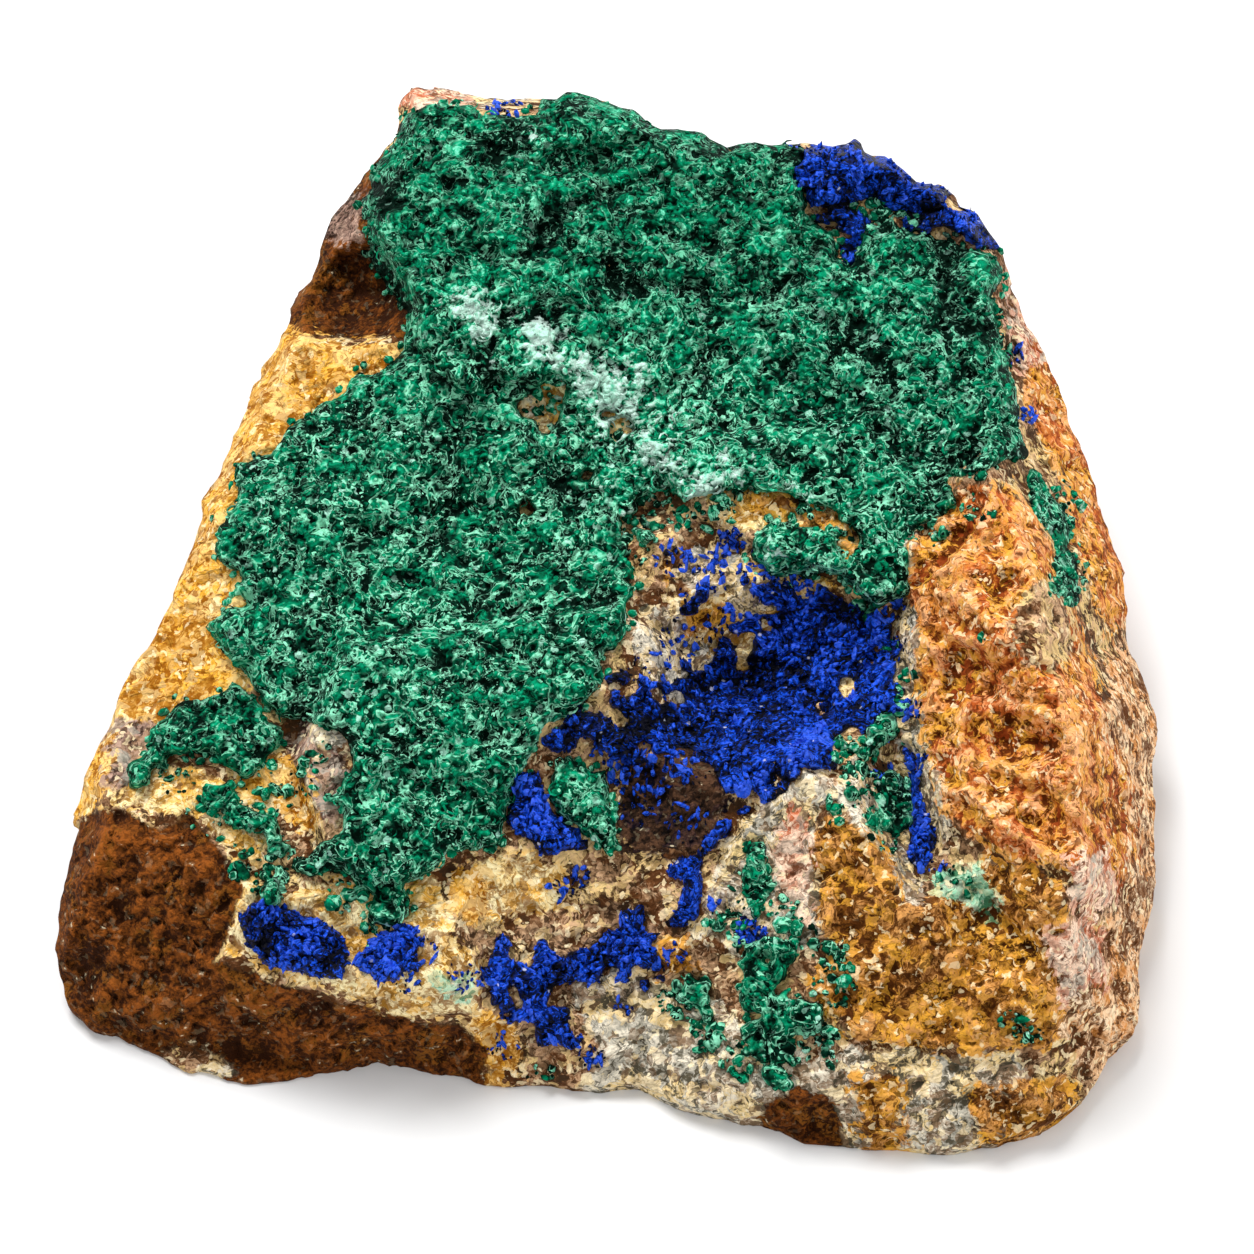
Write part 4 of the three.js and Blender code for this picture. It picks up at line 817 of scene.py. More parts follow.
def rock_surface(step, material):
    """The rock: the relief over a stretched sheet, walls in rings down to the base, and a flat base.
    A ring at share s of the way down is the rim drawn in by the undercut times a power of s, with
    fractures and chips."""
    sheet = stretched_sheet(step)
    u, v = sheet[..., 0], sheet[..., 1]
    room = nearest(OUTLINE, u, v, closed=True)[0]
    pull = 1 - 0.03 * np.exp(-room / 1.2)
    depths, covers = zones_at(u * pull, v * pull)
    grain = rock_grain(u, v, covers) * (0.5 + 0.5 * eased(room / 0.8))
    plain = ground(u, v)
    h = np.maximum(plain + grain, height_of_level(RIM_FLOOR, u, v))
    inland = eased(room / INLAND_REACH)
    # Relief, how far a point stands over its surroundings, and hollow, how far it lies under them: the finish
    # paints light on the bumps and shade in the dips and hollows by them
    relief = np.clip(h - smoothed(h, round(RELIEF_REACH / step)), -1, 1) * inland
    hollow = np.clip(smoothed(plain, round(HOLLOW_REACH / step)) - plain, -4, 4) * inland
    top = placed(u, v, h)
    ids = np.arange(u.size).reshape(u.shape)
    rim_ids = ring = border_of(ids)
    rim = top.reshape(-1, 3)[rim_ids]
    points = [top.reshape(-1, 3)]
    faces = [grid_quads(ids)]
    reliefs, downs = [relief.ravel()], [np.zeros(u.size)]
    x, y, z = rim.T / MM
    around = np.concatenate([[0], np.cumsum(np.hypot(*np.diff(rim[:, :2] / MM, axis=0).T))])
    count = u.size
    for band in range(1, WALL_BANDS + 1):
        share = band / WALL_BANDS
        level = z / WALL_HEIGHT
        fracture = 0.04 * level * rough(x + y, y - x + 2 * z * (1 - share), 11, 2, 29)
        scale = 1 - UNDERCUT * level * share ** UNDERCUT_POWER + fracture
        height = z * (1 - share)
        swing = eased(share * z / 2) * np.minimum(z / 10, 1) * (1 if band < WALL_BANDS else 0.5)
        chips = 0.3 * crystal_faces(around, height, 4.2, 151) + 0.7 * curls(around, height, 2.6, 155) - 0.4
        chips = chips + 0.3 * rough(around, height, 1.8, 2, 159)
        out = scale + swing * chips / np.hypot(x, y)
        points.append(MM * np.stack([x * out, y * out, height], -1))
        lower = count + np.arange(len(ring))
        faces.append(band_quads(ring, lower))
        # The chips' relief, by which the finish paints light and shade on the walls too
        reliefs.append(chips * swing)
        downs.append(share * z)
        ring, count = lower, count + len(ring)
    foot = points[-1]
    for scale in BASE_RINGS:
        points.append(foot * scale)
        lower = count + np.arange(len(ring))
        faces.append(band_quads(ring, lower))
        reliefs.append(np.zeros(len(ring)))
        downs.append(z)
        ring, count = lower, count + len(ring)
    points.append(np.zeros((1, 3)))
    reliefs.append([0])
    downs.append([10])
    faces.append(np.stack([ring, np.full(len(ring), count), np.roll(ring, -1)], -1))
    hollows = np.zeros(sum(map(len, reliefs)))
    hollows[:u.size] = hollow.ravel()
    attributes = {"relief": np.concatenate(reliefs), "down": np.concatenate(downs), "hollow": hollows}
    for key, depth in depths.items():
        rim_depths = [depth.ravel()[rim_ids]] * (WALL_BANDS + len(BASE_RINGS))
        attributes[key] = np.concatenate([depth.ravel(), *rim_depths, [-ZONE_REACH]])
    piece = mesh_piece("rock_surface", np.concatenate(points), faces, attributes, True, material)
    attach(piece, "root")
    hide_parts("matrix_rock")
    return piece


# A crust's grid: cells to a side of a block, and the margin round its outline
BLOCK = 4
GRID_MARGIN = 1.2
# How deep a crust's underside lies in the rock at the rim, and how much deeper inland
RIM_DEPTH, INLAND_DEPTH, DEPTH_REACH = 0.15, 0.65, 2
# A crust's lowest levels over the base: of its upper side and of its underside
TOP_FLOOR, UNDER_FLOOR = 0.15, 0.1


def crust_piece(name, outline, step, height_at, material, smooth):
    """A closed crust over a square grid of face points, in blocks of BLOCK by BLOCK cells. A block belongs
    to it where any of its points stands over the rock; the underside has one face to a block."""
    us, vs = np.array(outline, float).T
    blocks = [int(np.ceil((side.max() - side.min() + 2 * GRID_MARGIN) / (step * BLOCK)))
              for side in (us, vs)]
    columns, rows = (count * BLOCK for count in blocks)
    u, v = np.meshgrid(us.min() - GRID_MARGIN + step * np.arange(columns + 1),
                       vs.min() - GRID_MARGIN + step * np.arange(rows + 1))
    base, rise, values = height_at(u, v)
    windows = np.lib.stride_tricks.sliding_window_view(rise > 0, (BLOCK + 1, BLOCK + 1))
    kept = windows[::BLOCK, ::BLOCK].any(axis=(2, 3))
    kept[[0, -1]] = False
    kept[:, [0, -1]] = False
    for _ in range(3):
        cross = kept[:-1, :-1] & kept[1:, 1:] & ~kept[:-1, 1:] & ~kept[1:, :-1]
        other = ~kept[:-1, :-1] & ~kept[1:, 1:] & kept[:-1, 1:] & kept[1:, :-1]
        kept[:-1, 1:] |= cross
        kept[:-1, :-1] |= other
    fine = np.repeat(np.repeat(kept, BLOCK, axis=0), BLOCK, axis=1).ravel()
    ids = np.arange(u.size).reshape(u.shape)
    under = u.size + np.arange((blocks[0] + 1) * (blocks[1] + 1)).reshape(blocks[1] + 1, blocks[0] + 1)
    corner = ids[::BLOCK, ::BLOCK]
    faces = [grid_quads(ids)[fine], grid_quads(under)[kept.ravel()][:, ::-1]]
    padded = np.pad(kept, 1)
    inner = padded[1:-1, 1:-1]
    sides = []
    for dj, di, (j0, i0), (j1, i1) in ((-1, 0, (0, 0), (0, 1)), (0, 1, (0, 1), (1, 1)),
                                       (1, 0, (1, 1), (1, 0)), (0, -1, (1, 0), (0, 0))):
        beyond = padded[1 + dj:padded.shape[0] - 1 + dj, 1 + di:padded.shape[1] - 1 + di]
        j, i = np.nonzero(inner & ~beyond)
        sides.append(np.stack([j + j0, i + i0, j + j1, i + i1], -1))
    j0, i0, j1, i1 = np.concatenate(sides).T
    start, end = under[j0, i0], under[j1, i1]
    steps = np.arange(BLOCK + 1)[:, None]
    edge = ids[j0 * BLOCK + (j1 - j0) * steps, i0 * BLOCK + (i1 - i0) * steps]
    fans = [np.stack([edge[k], start, edge[k + 1]], -1) for k in range(BLOCK)]
    faces.append(np.concatenate(fans + [np.stack([edge[BLOCK], start, end], -1)]))
    # How far a crust's points lie under their surroundings, and their fine relief: the malachite's finish
    # paints shade in the hollows and light and shade by the relief, the azurite's by the relief
    values["hollow"] = smoothed(base, round(HOLLOW_REACH / step)) - base
    values["relief"] = values.pop("fine")
    u, v, room = drawn_in(u, v)
    rise = np.maximum(rise, -0.2 - 0.8 * room)
    top = placed(u, v, np.maximum(base + rise, height_of_level(TOP_FLOOR, u, v))).reshape(-1, 3)
    cu, cv = u[::BLOCK, ::BLOCK], v[::BLOCK, ::BLOCK]
    low = np.minimum(base, base + rise) - RIM_DEPTH - INLAND_DEPTH * eased(room / DEPTH_REACH)
    low = np.maximum(low[::BLOCK, ::BLOCK], height_of_level(UNDER_FLOOR, cu, cv))
    points = np.concatenate([top, placed(cu, cv, low).reshape(-1, 3)])
    used, places = np.unique(np.concatenate([group.ravel() for group in faces]), return_inverse=True)
    splits = np.cumsum([group.size for group in faces])[:-1]
    faces = [part.reshape(group.shape) for part, group in zip(np.split(places.ravel(), splits), faces)]
    attributes = {}
    for key, value in values.items():
        attributes[key] = np.concatenate([value.ravel(), value[::BLOCK, ::BLOCK].ravel()])[used]
    piece = mesh_piece(name + "_surface", points[used], faces, attributes, smooth, material)
    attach(piece, "root")
    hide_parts(name)
    return piece


def cover_at(crust, u, v, seed):
    """How far inside a crust's ragged outline a point lies, less what its broken places cut."""
    depth = depth_inside(crust["outline"], u, v)
    inner = np.minimum(np.minimum(depth, 2.4), depth_inside(OUTLINE, u, v) + 0.7)
    islands = 2.2 * rough(u, v, 1.8, 2, seed + 17)
    for bu, bv, radius, cut in crust["broken"]:
        near = np.exp(-((u - bu) ** 2 + (v - bv) ** 2) / radius ** 2) ** 0.7
        inner = inner - near * (2.4 * cut - islands)
    wander = crust["ragged"] * (rough(u, v, 2.6, 3, seed) + 0.5 * knobs(u, v, 1.3, seed + 7) - 0.25)
    return inner + wander * eased((depth + 2) / 2)


def crust_rise(crust, cover, u, v):
    """A crust's thickness: full inside, round at its edge, and below nothing outside."""
    inside = np.sqrt(1 - (1 - np.clip(cover / crust["edge"], 0, 1)) ** 2)
    body = (crust["thickness"] + crust["lumps"] * rough(u, v, 5, 2, 41)) * inside
    return np.where(cover > 0, body, np.maximum(1.6 * cover, -2))


def malachite_height(crust, seed, relief):
    """Height of a malachite crust: its rise, round lumps, and curled ridges in two sizes."""
    def height_at(u, v):
        cover = cover_at(crust, u, v, seed)
        base = ground(u, v)
        body = crust_rise(crust, cover, u, v)
        back = np.maximum(eased((v - 8) / 26), 0.7 * eased((-27 - u) / 6) * eased((2 - v) / 6))
        lumps = (0.7 + 0.8 * back) * knobs(u, v, 4.6, 211) + 0.6 * knobs(u, v, 2.1, 213)
        coral = 0.45 * curls(u, v, 1.7, 221) + 0.4 * curls(u, v, 1.0, 225) + 0.3 * curls(u, v, 0.6, 229)
        strength = eased(cover / 0.7)
        fine = relief / MM * (1.9 * coral - 0.9)
        rise = body + strength * ((0.8 + 0.5 * back) * (lumps - 0.8) + fine)
        pale = pale_cover(u, v)
        rise += 0.7 * pale * strength
        return base, rise, {"coral": coral, "pale": pale, "lump": lumps, "back": back, "fine": fine}
    return height_at


# The pale, mint-coloured bands of the malachite: lines with a reach in millimetres and a strength
PALE_BANDS = [
    ([(-13, 25), (-6, 21.3), (-1.8, 18.6), (0.8, 15.2), (2, 12.8), (6, 8), (9, 6)], 3, 1),
    ([(-10, 20), (-5, 15), (-1, 9), (3, 4)], 3, 0.5),
    ([(0, 19), (6, 14), (10, 9)], 5, 0.7), ([(8, 6), (13, 8), (17, 8)], 3.4, 0.6),
    ([(-6.9, 43.2), (-5.7, 43)], 0.8, 1.4),
    ([(15.2, 0.4), (18, -0.6), (21, -0.4)], 1.6, 0.7),
]


def band_covers(bands, u, v):
    """How strong each band is at a point: its strength on its line, falling off over its reach."""
    return [strength * np.exp(-(nearest(line, u, v)[0] / reach) ** 2) for line, reach, strength in bands]


def pale_cover(u, v):
    """How pale the malachite is: the strongest of the bands, worn by noise."""
    cover = np.max(band_covers(PALE_BANDS, u, v), axis=0)
    return cover * np.clip(0.75 + 0.5 * rough(u, v, 3, 2, 241), 0, 1.2)


def azurite_height(crust, seed, relief):
    """Height of an azurite crust: its rise, lumps, and crystal faces in two sizes."""
    def height_at(u, v):
        cover = cover_at(crust, u, v, seed)
        base = ground(u, v)
        body = crust_rise(crust, cover, u, v)
        faces = crystal_faces(u, v, crust["grain"], 251)
        faces = faces + 0.6 * crystal_faces(u, v, 0.5 * crust["grain"], 261)
        lumps = knobs(u, v, 3.2, 271)
        fine = relief / MM * 1.2 * faces
        rise = body + eased(cover / 0.7) * (fine + 1.3 * crust["lumps"] * (lumps - 0.5))
        glow = np.maximum(crust["glow"], np.max(band_covers(BRIGHT_BANDS, u, v), axis=0))
        # The dark bands take it down; the first of them is a painted shadow under the inner cliff
        for cover in band_covers(DEEP_BANDS, u, v):
            glow = glow - cover
        return base, rise, {"facet": faces, "glow": np.clip(glow, -1, 1), "lump": lumps, "fine": fine}
    return height_at


# Where the azurite is bright and powdery, and where it is nearly black: lines with a reach and a strength
BRIGHT_BANDS = [
    ([(11, -24), (13, -21.4), (16, -19), (18.6, -17.6)], 2.6, 1),
    ([(9, -14.6), (14, -15.4), (20, -14)], 2.2, 0.5),
    ([(9, -1), (15, -3), (20, -6)], 2.6, 0.35),
]
DEEP_BANDS = [
    # The first is a painted shadow, under the edge of the inner cliff
    ([(8, -11.6), (12, -12), (16, -11.6)], 2.4, 0.7),
    ([(1, -17.4), (4, -18.4), (7.6, -17.6)], 2.6, 0.6),
    ([(-3, -14.6), (1.6, -13), (3, -9.4)], 2.6, 0.5),
    ([(10, -22), (12.6, -19.6), (14.6, -16.6)], 1.4, 0.5),
]

# Small closed shapes, many to a piece

# The golden ratio, for a ball of twenty faces
T = (1 + 5 ** 0.5) / 2
ROUND_POINTS = np.array([
    (-1, T, 0), (1, T, 0), (-1, -T, 0), (1, -T, 0), (0, -1, T), (0, 1, T),
    (0, -1, -T), (0, 1, -T), (T, 0, -1), (T, 0, 1), (-T, 0, -1), (-T, 0, 1),
]) / math.hypot(1, T)
ROUND_FACES = np.array([
    (0, 11, 5), (0, 5, 1), (0, 1, 7), (0, 7, 10), (0, 10, 11), (1, 5, 9), (5, 11, 4), (11, 10, 2),
    (10, 7, 6), (7, 1, 8), (3, 9, 4), (3, 4, 2), (3, 2, 6), (3, 6, 8), (3, 8, 9), (4, 9, 5), (2, 4, 11),
    (6, 2, 10), (8, 6, 7), (9, 8, 1),
])
# A crystal, with half its length as 1: sides, half its width and thickness, where its tips begin, their lean
CRYSTAL_SIDES = 6
CRYSTAL_RADII = (0.44, 0.26)
CRYSTAL_SHOULDER = 0.45
CRYSTAL_LEAN = 0.16
# A curl, with its radius as 1: parts along it, half turns, and how thick its tips and its middle are
CURL_PARTS = 6
CURL_TURN = 1.4
CURL_TIP, CURL_SWELL = 0.07, 0.09
CURL_WIDTH = 2.4


def crystal_shape():
    """A stout prism with a slanted tip at each end: rings of six points, and two tips."""
    turn = np.arange(CRYSTAL_SIDES) * 2 * np.pi / CRYSTAL_SIDES
    ring = np.stack([CRYSTAL_RADII[0] * np.cos(turn), CRYSTAL_RADII[1] * np.sin(turn)], -1)
    rings = [np.column_stack([ring, np.full(CRYSTAL_SIDES, end * CRYSTAL_SHOULDER)]) for end in (1, -1)]
    points = np.concatenate([*rings, [(CRYSTAL_LEAN, 0, 1), (-CRYSTAL_LEAN, 0, -1)]])
    high = np.arange(CRYSTAL_SIDES)
    after = (high + 1) % CRYSTAL_SIDES
    low, under = high + CRYSTAL_SIDES, after + CRYSTAL_SIDES
    tip, foot = (np.full(CRYSTAL_SIDES, 2 * CRYSTAL_SIDES + end) for end in (0, 1))
    sides = [(high, under, after), (high, low, under), (high, after, tip), (under, low, foot)]
    return points, np.concatenate([np.stack(side, -1) for side in sides])


def curl_shape():
    """An open ring of three-sided tube, 0.7 of a turn, that thins towards its ends, which are closed."""
    share = np.linspace(0, 1, CURL_PARTS + 1)[:, None]
    along, around = CURL_TURN * np.pi * share, np.arange(3) * 2 * np.pi / 3
    thick = CURL_TIP + CURL_SWELL * np.sin(np.pi * share)
    radius = 1 + thick * np.cos(around)
    deep = CURL_WIDTH * thick * np.sin(around)
    points = np.stack([radius * np.cos(along), radius * np.sin(along), deep], -1)
    ids = np.arange(3 * (CURL_PARTS + 1)).reshape(-1, 3)
    after = np.roll(ids, -1, axis=1)
    low = np.stack([ids[:-1], ids[1:], after[1:]], -1).reshape(-1, 3)
    high = np.stack([ids[:-1], after[1:], after[:-1]], -1).reshape(-1, 3)
    return points.reshape(-1, 3), np.concatenate([low, high, ids[:1], ids[-1:, ::-1]])


def turned(count, tilt, random):
    """Turning matrices: any turn about the upright, then a lean of up to tilt to any side."""
    spin, lean = random.uniform(0, 2 * np.pi, count), random.uniform(0, tilt, count)
    side = random.uniform(0, 2 * np.pi, count)
    axis = np.stack([np.cos(side), np.sin(side), np.zeros(count)], -1)
    cross = np.zeros((count, 3, 3))
    cross[:, 0, 2], cross[:, 1, 2] = axis[:, 1], -axis[:, 0]
    cross[:, 2, 0], cross[:, 2, 1] = -axis[:, 1], axis[:, 0]
    s, c = np.sin(lean)[:, None, None], np.cos(lean)[:, None, None]
    leaned = np.eye(3) + s * cross + (1 - c) * (cross @ cross)
    spun = np.zeros((count, 3, 3))
    spun[:, 0, 0], spun[:, 0, 1] = np.cos(spin), -np.sin(spin)
    spun[:, 1, 0], spun[:, 1, 1], spun[:, 2, 2] = np.sin(spin), np.cos(spin), 1
    return leaned @ spun


def scattered(name, shape, centres, sizes, stretch, tilt, seed, values, smooth, material):
    """Copies of a small closed shape: each stretched, turned at random, sized and moved to its centre."""
    points, faces = shape
    random = np.random.default_rng(seed)
    count = len(centres)
    scale = sizes[:, None] * (1 + stretch * random.uniform(-1, 1, (count, 3)))
    matrices = turned(count, tilt, random)
    copies = np.einsum("nij,npj->npi", matrices, points[None] * scale[:, None]) + centres[:, None]
    indices = faces[None] + len(points) * np.arange(count)[:, None, None]
    attributes = {key: np.repeat(value, len(points)) for key, value in values.items()}
    piece = mesh_piece(name, copies.reshape(-1, 3), [indices.reshape(-1, 3)], attributes, smooth,
                       material)
    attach(piece, "root")
    return piece


def spots_in(outline, count, seed):
    """Random places in the box round an outline, and a number from 0 to 1 for each."""
    random = np.random.default_rng(seed)
    us, vs = np.array(outline, float).T
    u, v = random.uniform(us.min(), us.max(), count), random.uniform(vs.min(), vs.max(), count)
    return u, v, random.uniform(0, 1, count)


def spots_round(places, seed, room):
    """Random places round centres, each (u, v, radius, how many), with some room to the outline."""
    random = np.random.default_rng(seed)
    u0, v0, radius, count = np.array(places, float).T
    owner = np.repeat(np.arange(len(places)), (1.5 * count).astype(int))
    far = radius[owner] * np.sqrt(random.uniform(0, 1, len(owner)))
    turn = random.uniform(0, 2 * np.pi, len(owner))
    u, v = u0[owner] + far * np.cos(turn), v0[owner] + far * np.sin(turn)
    chance = random.uniform(0, 1, len(owner))
    on = depth_inside(OUTLINE, u, v) > room
    return u[on], v[on], chance[on]


# Finishes


def linear(colour):
    """A colour of the screen, 0 to 255, as the renderer's linear values."""
    return tuple(c / 3294.6 if c <= 10.3 else ((c / 255 + 0.055) / 1.055) ** 2.4 for c in colour) + (1,)


def blended(a, b, share):
    """A colour between two others."""
    return tuple(x + share * (y - x) for x, y in zip(a, b))


class Shade:
    """A value or colour on its way through a finish; arithmetic on it adds Math nodes."""

    def __init__(self, finish, socket):
        self.finish = finish
        self.socket = socket

    def maths(self, operation, *others, clamp=False):
        """A Math node on this value and others."""
        values = {0: self, **{k + 1: other for k, other in enumerate(others)}}
        return self.finish.node("ShaderNodeMath", {"operation": operation, "use_clamp": clamp}, values)

    def __add__(self, other):
        return self.maths("ADD", other)

    __radd__ = __add__

    def __mul__(self, other):
        return self.maths("MULTIPLY", other)

    def __sub__(self, other):
        return self.maths("SUBTRACT", other)

    def __rsub__(self, other):
        return (self * -1) + other

    def clamped(self):
        """Kept between 0 and 1."""
        return self.maths("ADD", 0.0, clamp=True)

    def over(self, low, high):
        """0 below low, 1 above high, and even between."""
        return ((self - low) * (1 / (high - low))).clamped()


class Finish:
    """A material's nodes while it is being made."""

    def __init__(self, name):
        self.material = bpy.data.materials.new(name)
        self.material.use_nodes = True
        self.tree = self.material.node_tree
        self.tree.nodes.clear()
        self.place = self.node("ShaderNodeTexCoord", {}, {}, "Object")

    def node(self, kind, settings, values, output=0):
        """A node of any kind: its settings first, then the values or links of its sockets."""
        made = self.tree.nodes.new(kind)
        for key, value in settings.items():
            if key == "stops":
                self.set_stops(made.color_ramp, value)
            else:
                setattr(made, key, value)
        for key, value in values.items():
            if isinstance(value, Shade):
                self.tree.links.new(value.socket, made.inputs[key])
            else:
                made.inputs[key].default_value = value
        return Shade(self, made.outputs[output])

    @staticmethod
    def set_stops(ramp, stops):
        """A colour ramp's stops, each a position and a colour."""
        while len(ramp.elements) < len(stops):
            ramp.elements.new(0.5)
        for element, (position, colour) in zip(ramp.elements, stops):
            element.position = position
            element.color = colour

    def kept(self, name):
        """A value kept at the mesh's points."""
        return self.node("ShaderNodeAttribute", {"attribute_name": name}, {}, "Fac")

    def cloud(self, size, detail=3.0, roughness=0.6, distortion=0.0):
        """Noise with waves of a size in millimetres, 0 to 1."""
        return self.node("ShaderNodeTexNoise", {}, {
            "Vector": self.place, "Scale": 1 / (size * MM), "Detail": detail, "Roughness": roughness,
            "Distortion": distortion,
        })

    def bent(self, size, reach):
        """The place, pushed about by noise of a size in millimetres, for cells with crooked borders."""
        push = self.node("ShaderNodeTexNoise", {}, {"Vector": self.place, "Scale": 1 / (size * MM)}, "Color")
        return self.node("ShaderNodeVectorMath", {"operation": "MULTIPLY_ADD"},
                         {0: push, 1: (reach * MM,) * 3, 2: self.place})

    def cells(self, size, place):
        """Cells of a size in millimetres: the distance to their middles, and a random number for each."""
        scale = 1 / (size * MM)
        away = self.node("ShaderNodeTexVoronoi", {}, {"Vector": place, "Scale": scale}, "Distance")
        colour = Shade(self, away.socket.node.outputs["Color"])
        return away, self.node("ShaderNodeSeparateColor", {}, {"Color": colour}, "Red")

    def plates(self, size, count, distortion=0.8):
        """Overlapping curled plates: the fraction of noise taken several times, which climbs from 0 to 1 over
        each plate and drops at its edge."""
        return (self.cloud(size, 2.0, 0.5, distortion) * count).maths("FRACT")

    def threads(self, size, width, distortion=0.8):
        """Thin curled lines: 1 where noise of a size passes its middle, and down to 0 over a width."""
        middle = self.cloud(size, 2.0, 0.5, distortion) - 0.5
        return (1 - middle.maths("ABSOLUTE") * (1 / width)).clamped()

    def mix(self, a, b, share):
        """Colour a, with a share of colour b."""
        return self.node("ShaderNodeMix", {"data_type": "RGBA"}, {0: share, 6: a, 7: b}, 2)

    def ramp(self, value, stops):
        """The colour of a ramp at a value."""
        return self.node("ShaderNodeValToRGB", {"stops": stops}, {"Fac": value})

    def bump(self, height, distance):
        """Fine relief by the height of a value, in millimetres at 1."""
        return self.node("ShaderNodeBump", {}, {"Height": height, "Distance": distance * MM, "Strength": 1.0})

    def done(self, colour, roughness, normal, **fixed):
        """The surface: colour, roughness and normal, and fixed values for the shader's other sockets."""
        names = {"specular": "Specular IOR Level", "coat": "Coat Weight", "sheen": "Sheen Weight"}
        values = {names[key]: value for key, value in fixed.items()}
        surface = self.node("ShaderNodeBsdfPrincipled", {}, {
            "Base Color": colour, "Roughness": roughness, "Normal": normal, **values,
        })
        output = self.tree.nodes.new("ShaderNodeOutputMaterial")
        self.tree.links.new(surface.socket, output.inputs["Surface"])
        return self.material


def light_of(colour, share):
    """A colour with a share of plain white."""
    return blended(colour, (1, 1, 1, 1), share)


def deepened(colour, power, share):
    """A deeper tone of a colour: its linear values to a power, which keeps it rich, times a share."""
    return tuple(share * c ** power for c in colour[:3]) + (1,)


def lifted(colour, factor, share):
    """A lighter tone of a colour: its linear values times a factor, with a share of warm white."""
    tone = ((1 - share) * min(1, factor * c) + share * w for c, w in zip(colour, WARM_WHITE))
    return tuple(tone) + (1,)


WARM_WHITE = (1, 0.88, 0.68)
# How each zone's tones come from its colour: power and share of the deep one, factor and warm white of the
# light one, and the colours of its flecks and stains
ZONE_TONES = {
    "dull": (1.3, 0.25, 2.0, 0.1, "cream", "limonite"),
    "limonite": (1.1, 0.3, 2.4, 0, "limonite_deep", "amber"),
    "ochre": (1.6, 0.4, 1.35, 0.2, "amber", "cream"),
    "cream": (2.2, 0.42, 1.3, 0.4, "ochre", "dull"),
    "white": (2.2, 0.5, 1.4, 0.6, "cream", "dull"),
    "rust": (1.6, 0.22, 1.4, 0.22, "ochre", "russet"),
    "amber": (1.4, 0.24, 1.8, 0.1, "ochre", "limonite"),
    "tan": (2.0, 0.16, 1.4, 0.5, "rust", "limonite"),
    "dark": (1.3, 0.3, 3.0, 0, "azurite", "limonite_deep"),
    "verdigris": (1.6, 0.5, 1.3, 0.3, "cream", "white"),
    "pink": (2.2, 0.35, 1.3, 0.4, "russet", "white"),
    "mauve": (1.4, 0.28, 1.9, 0.1, "dull", "white"),
}


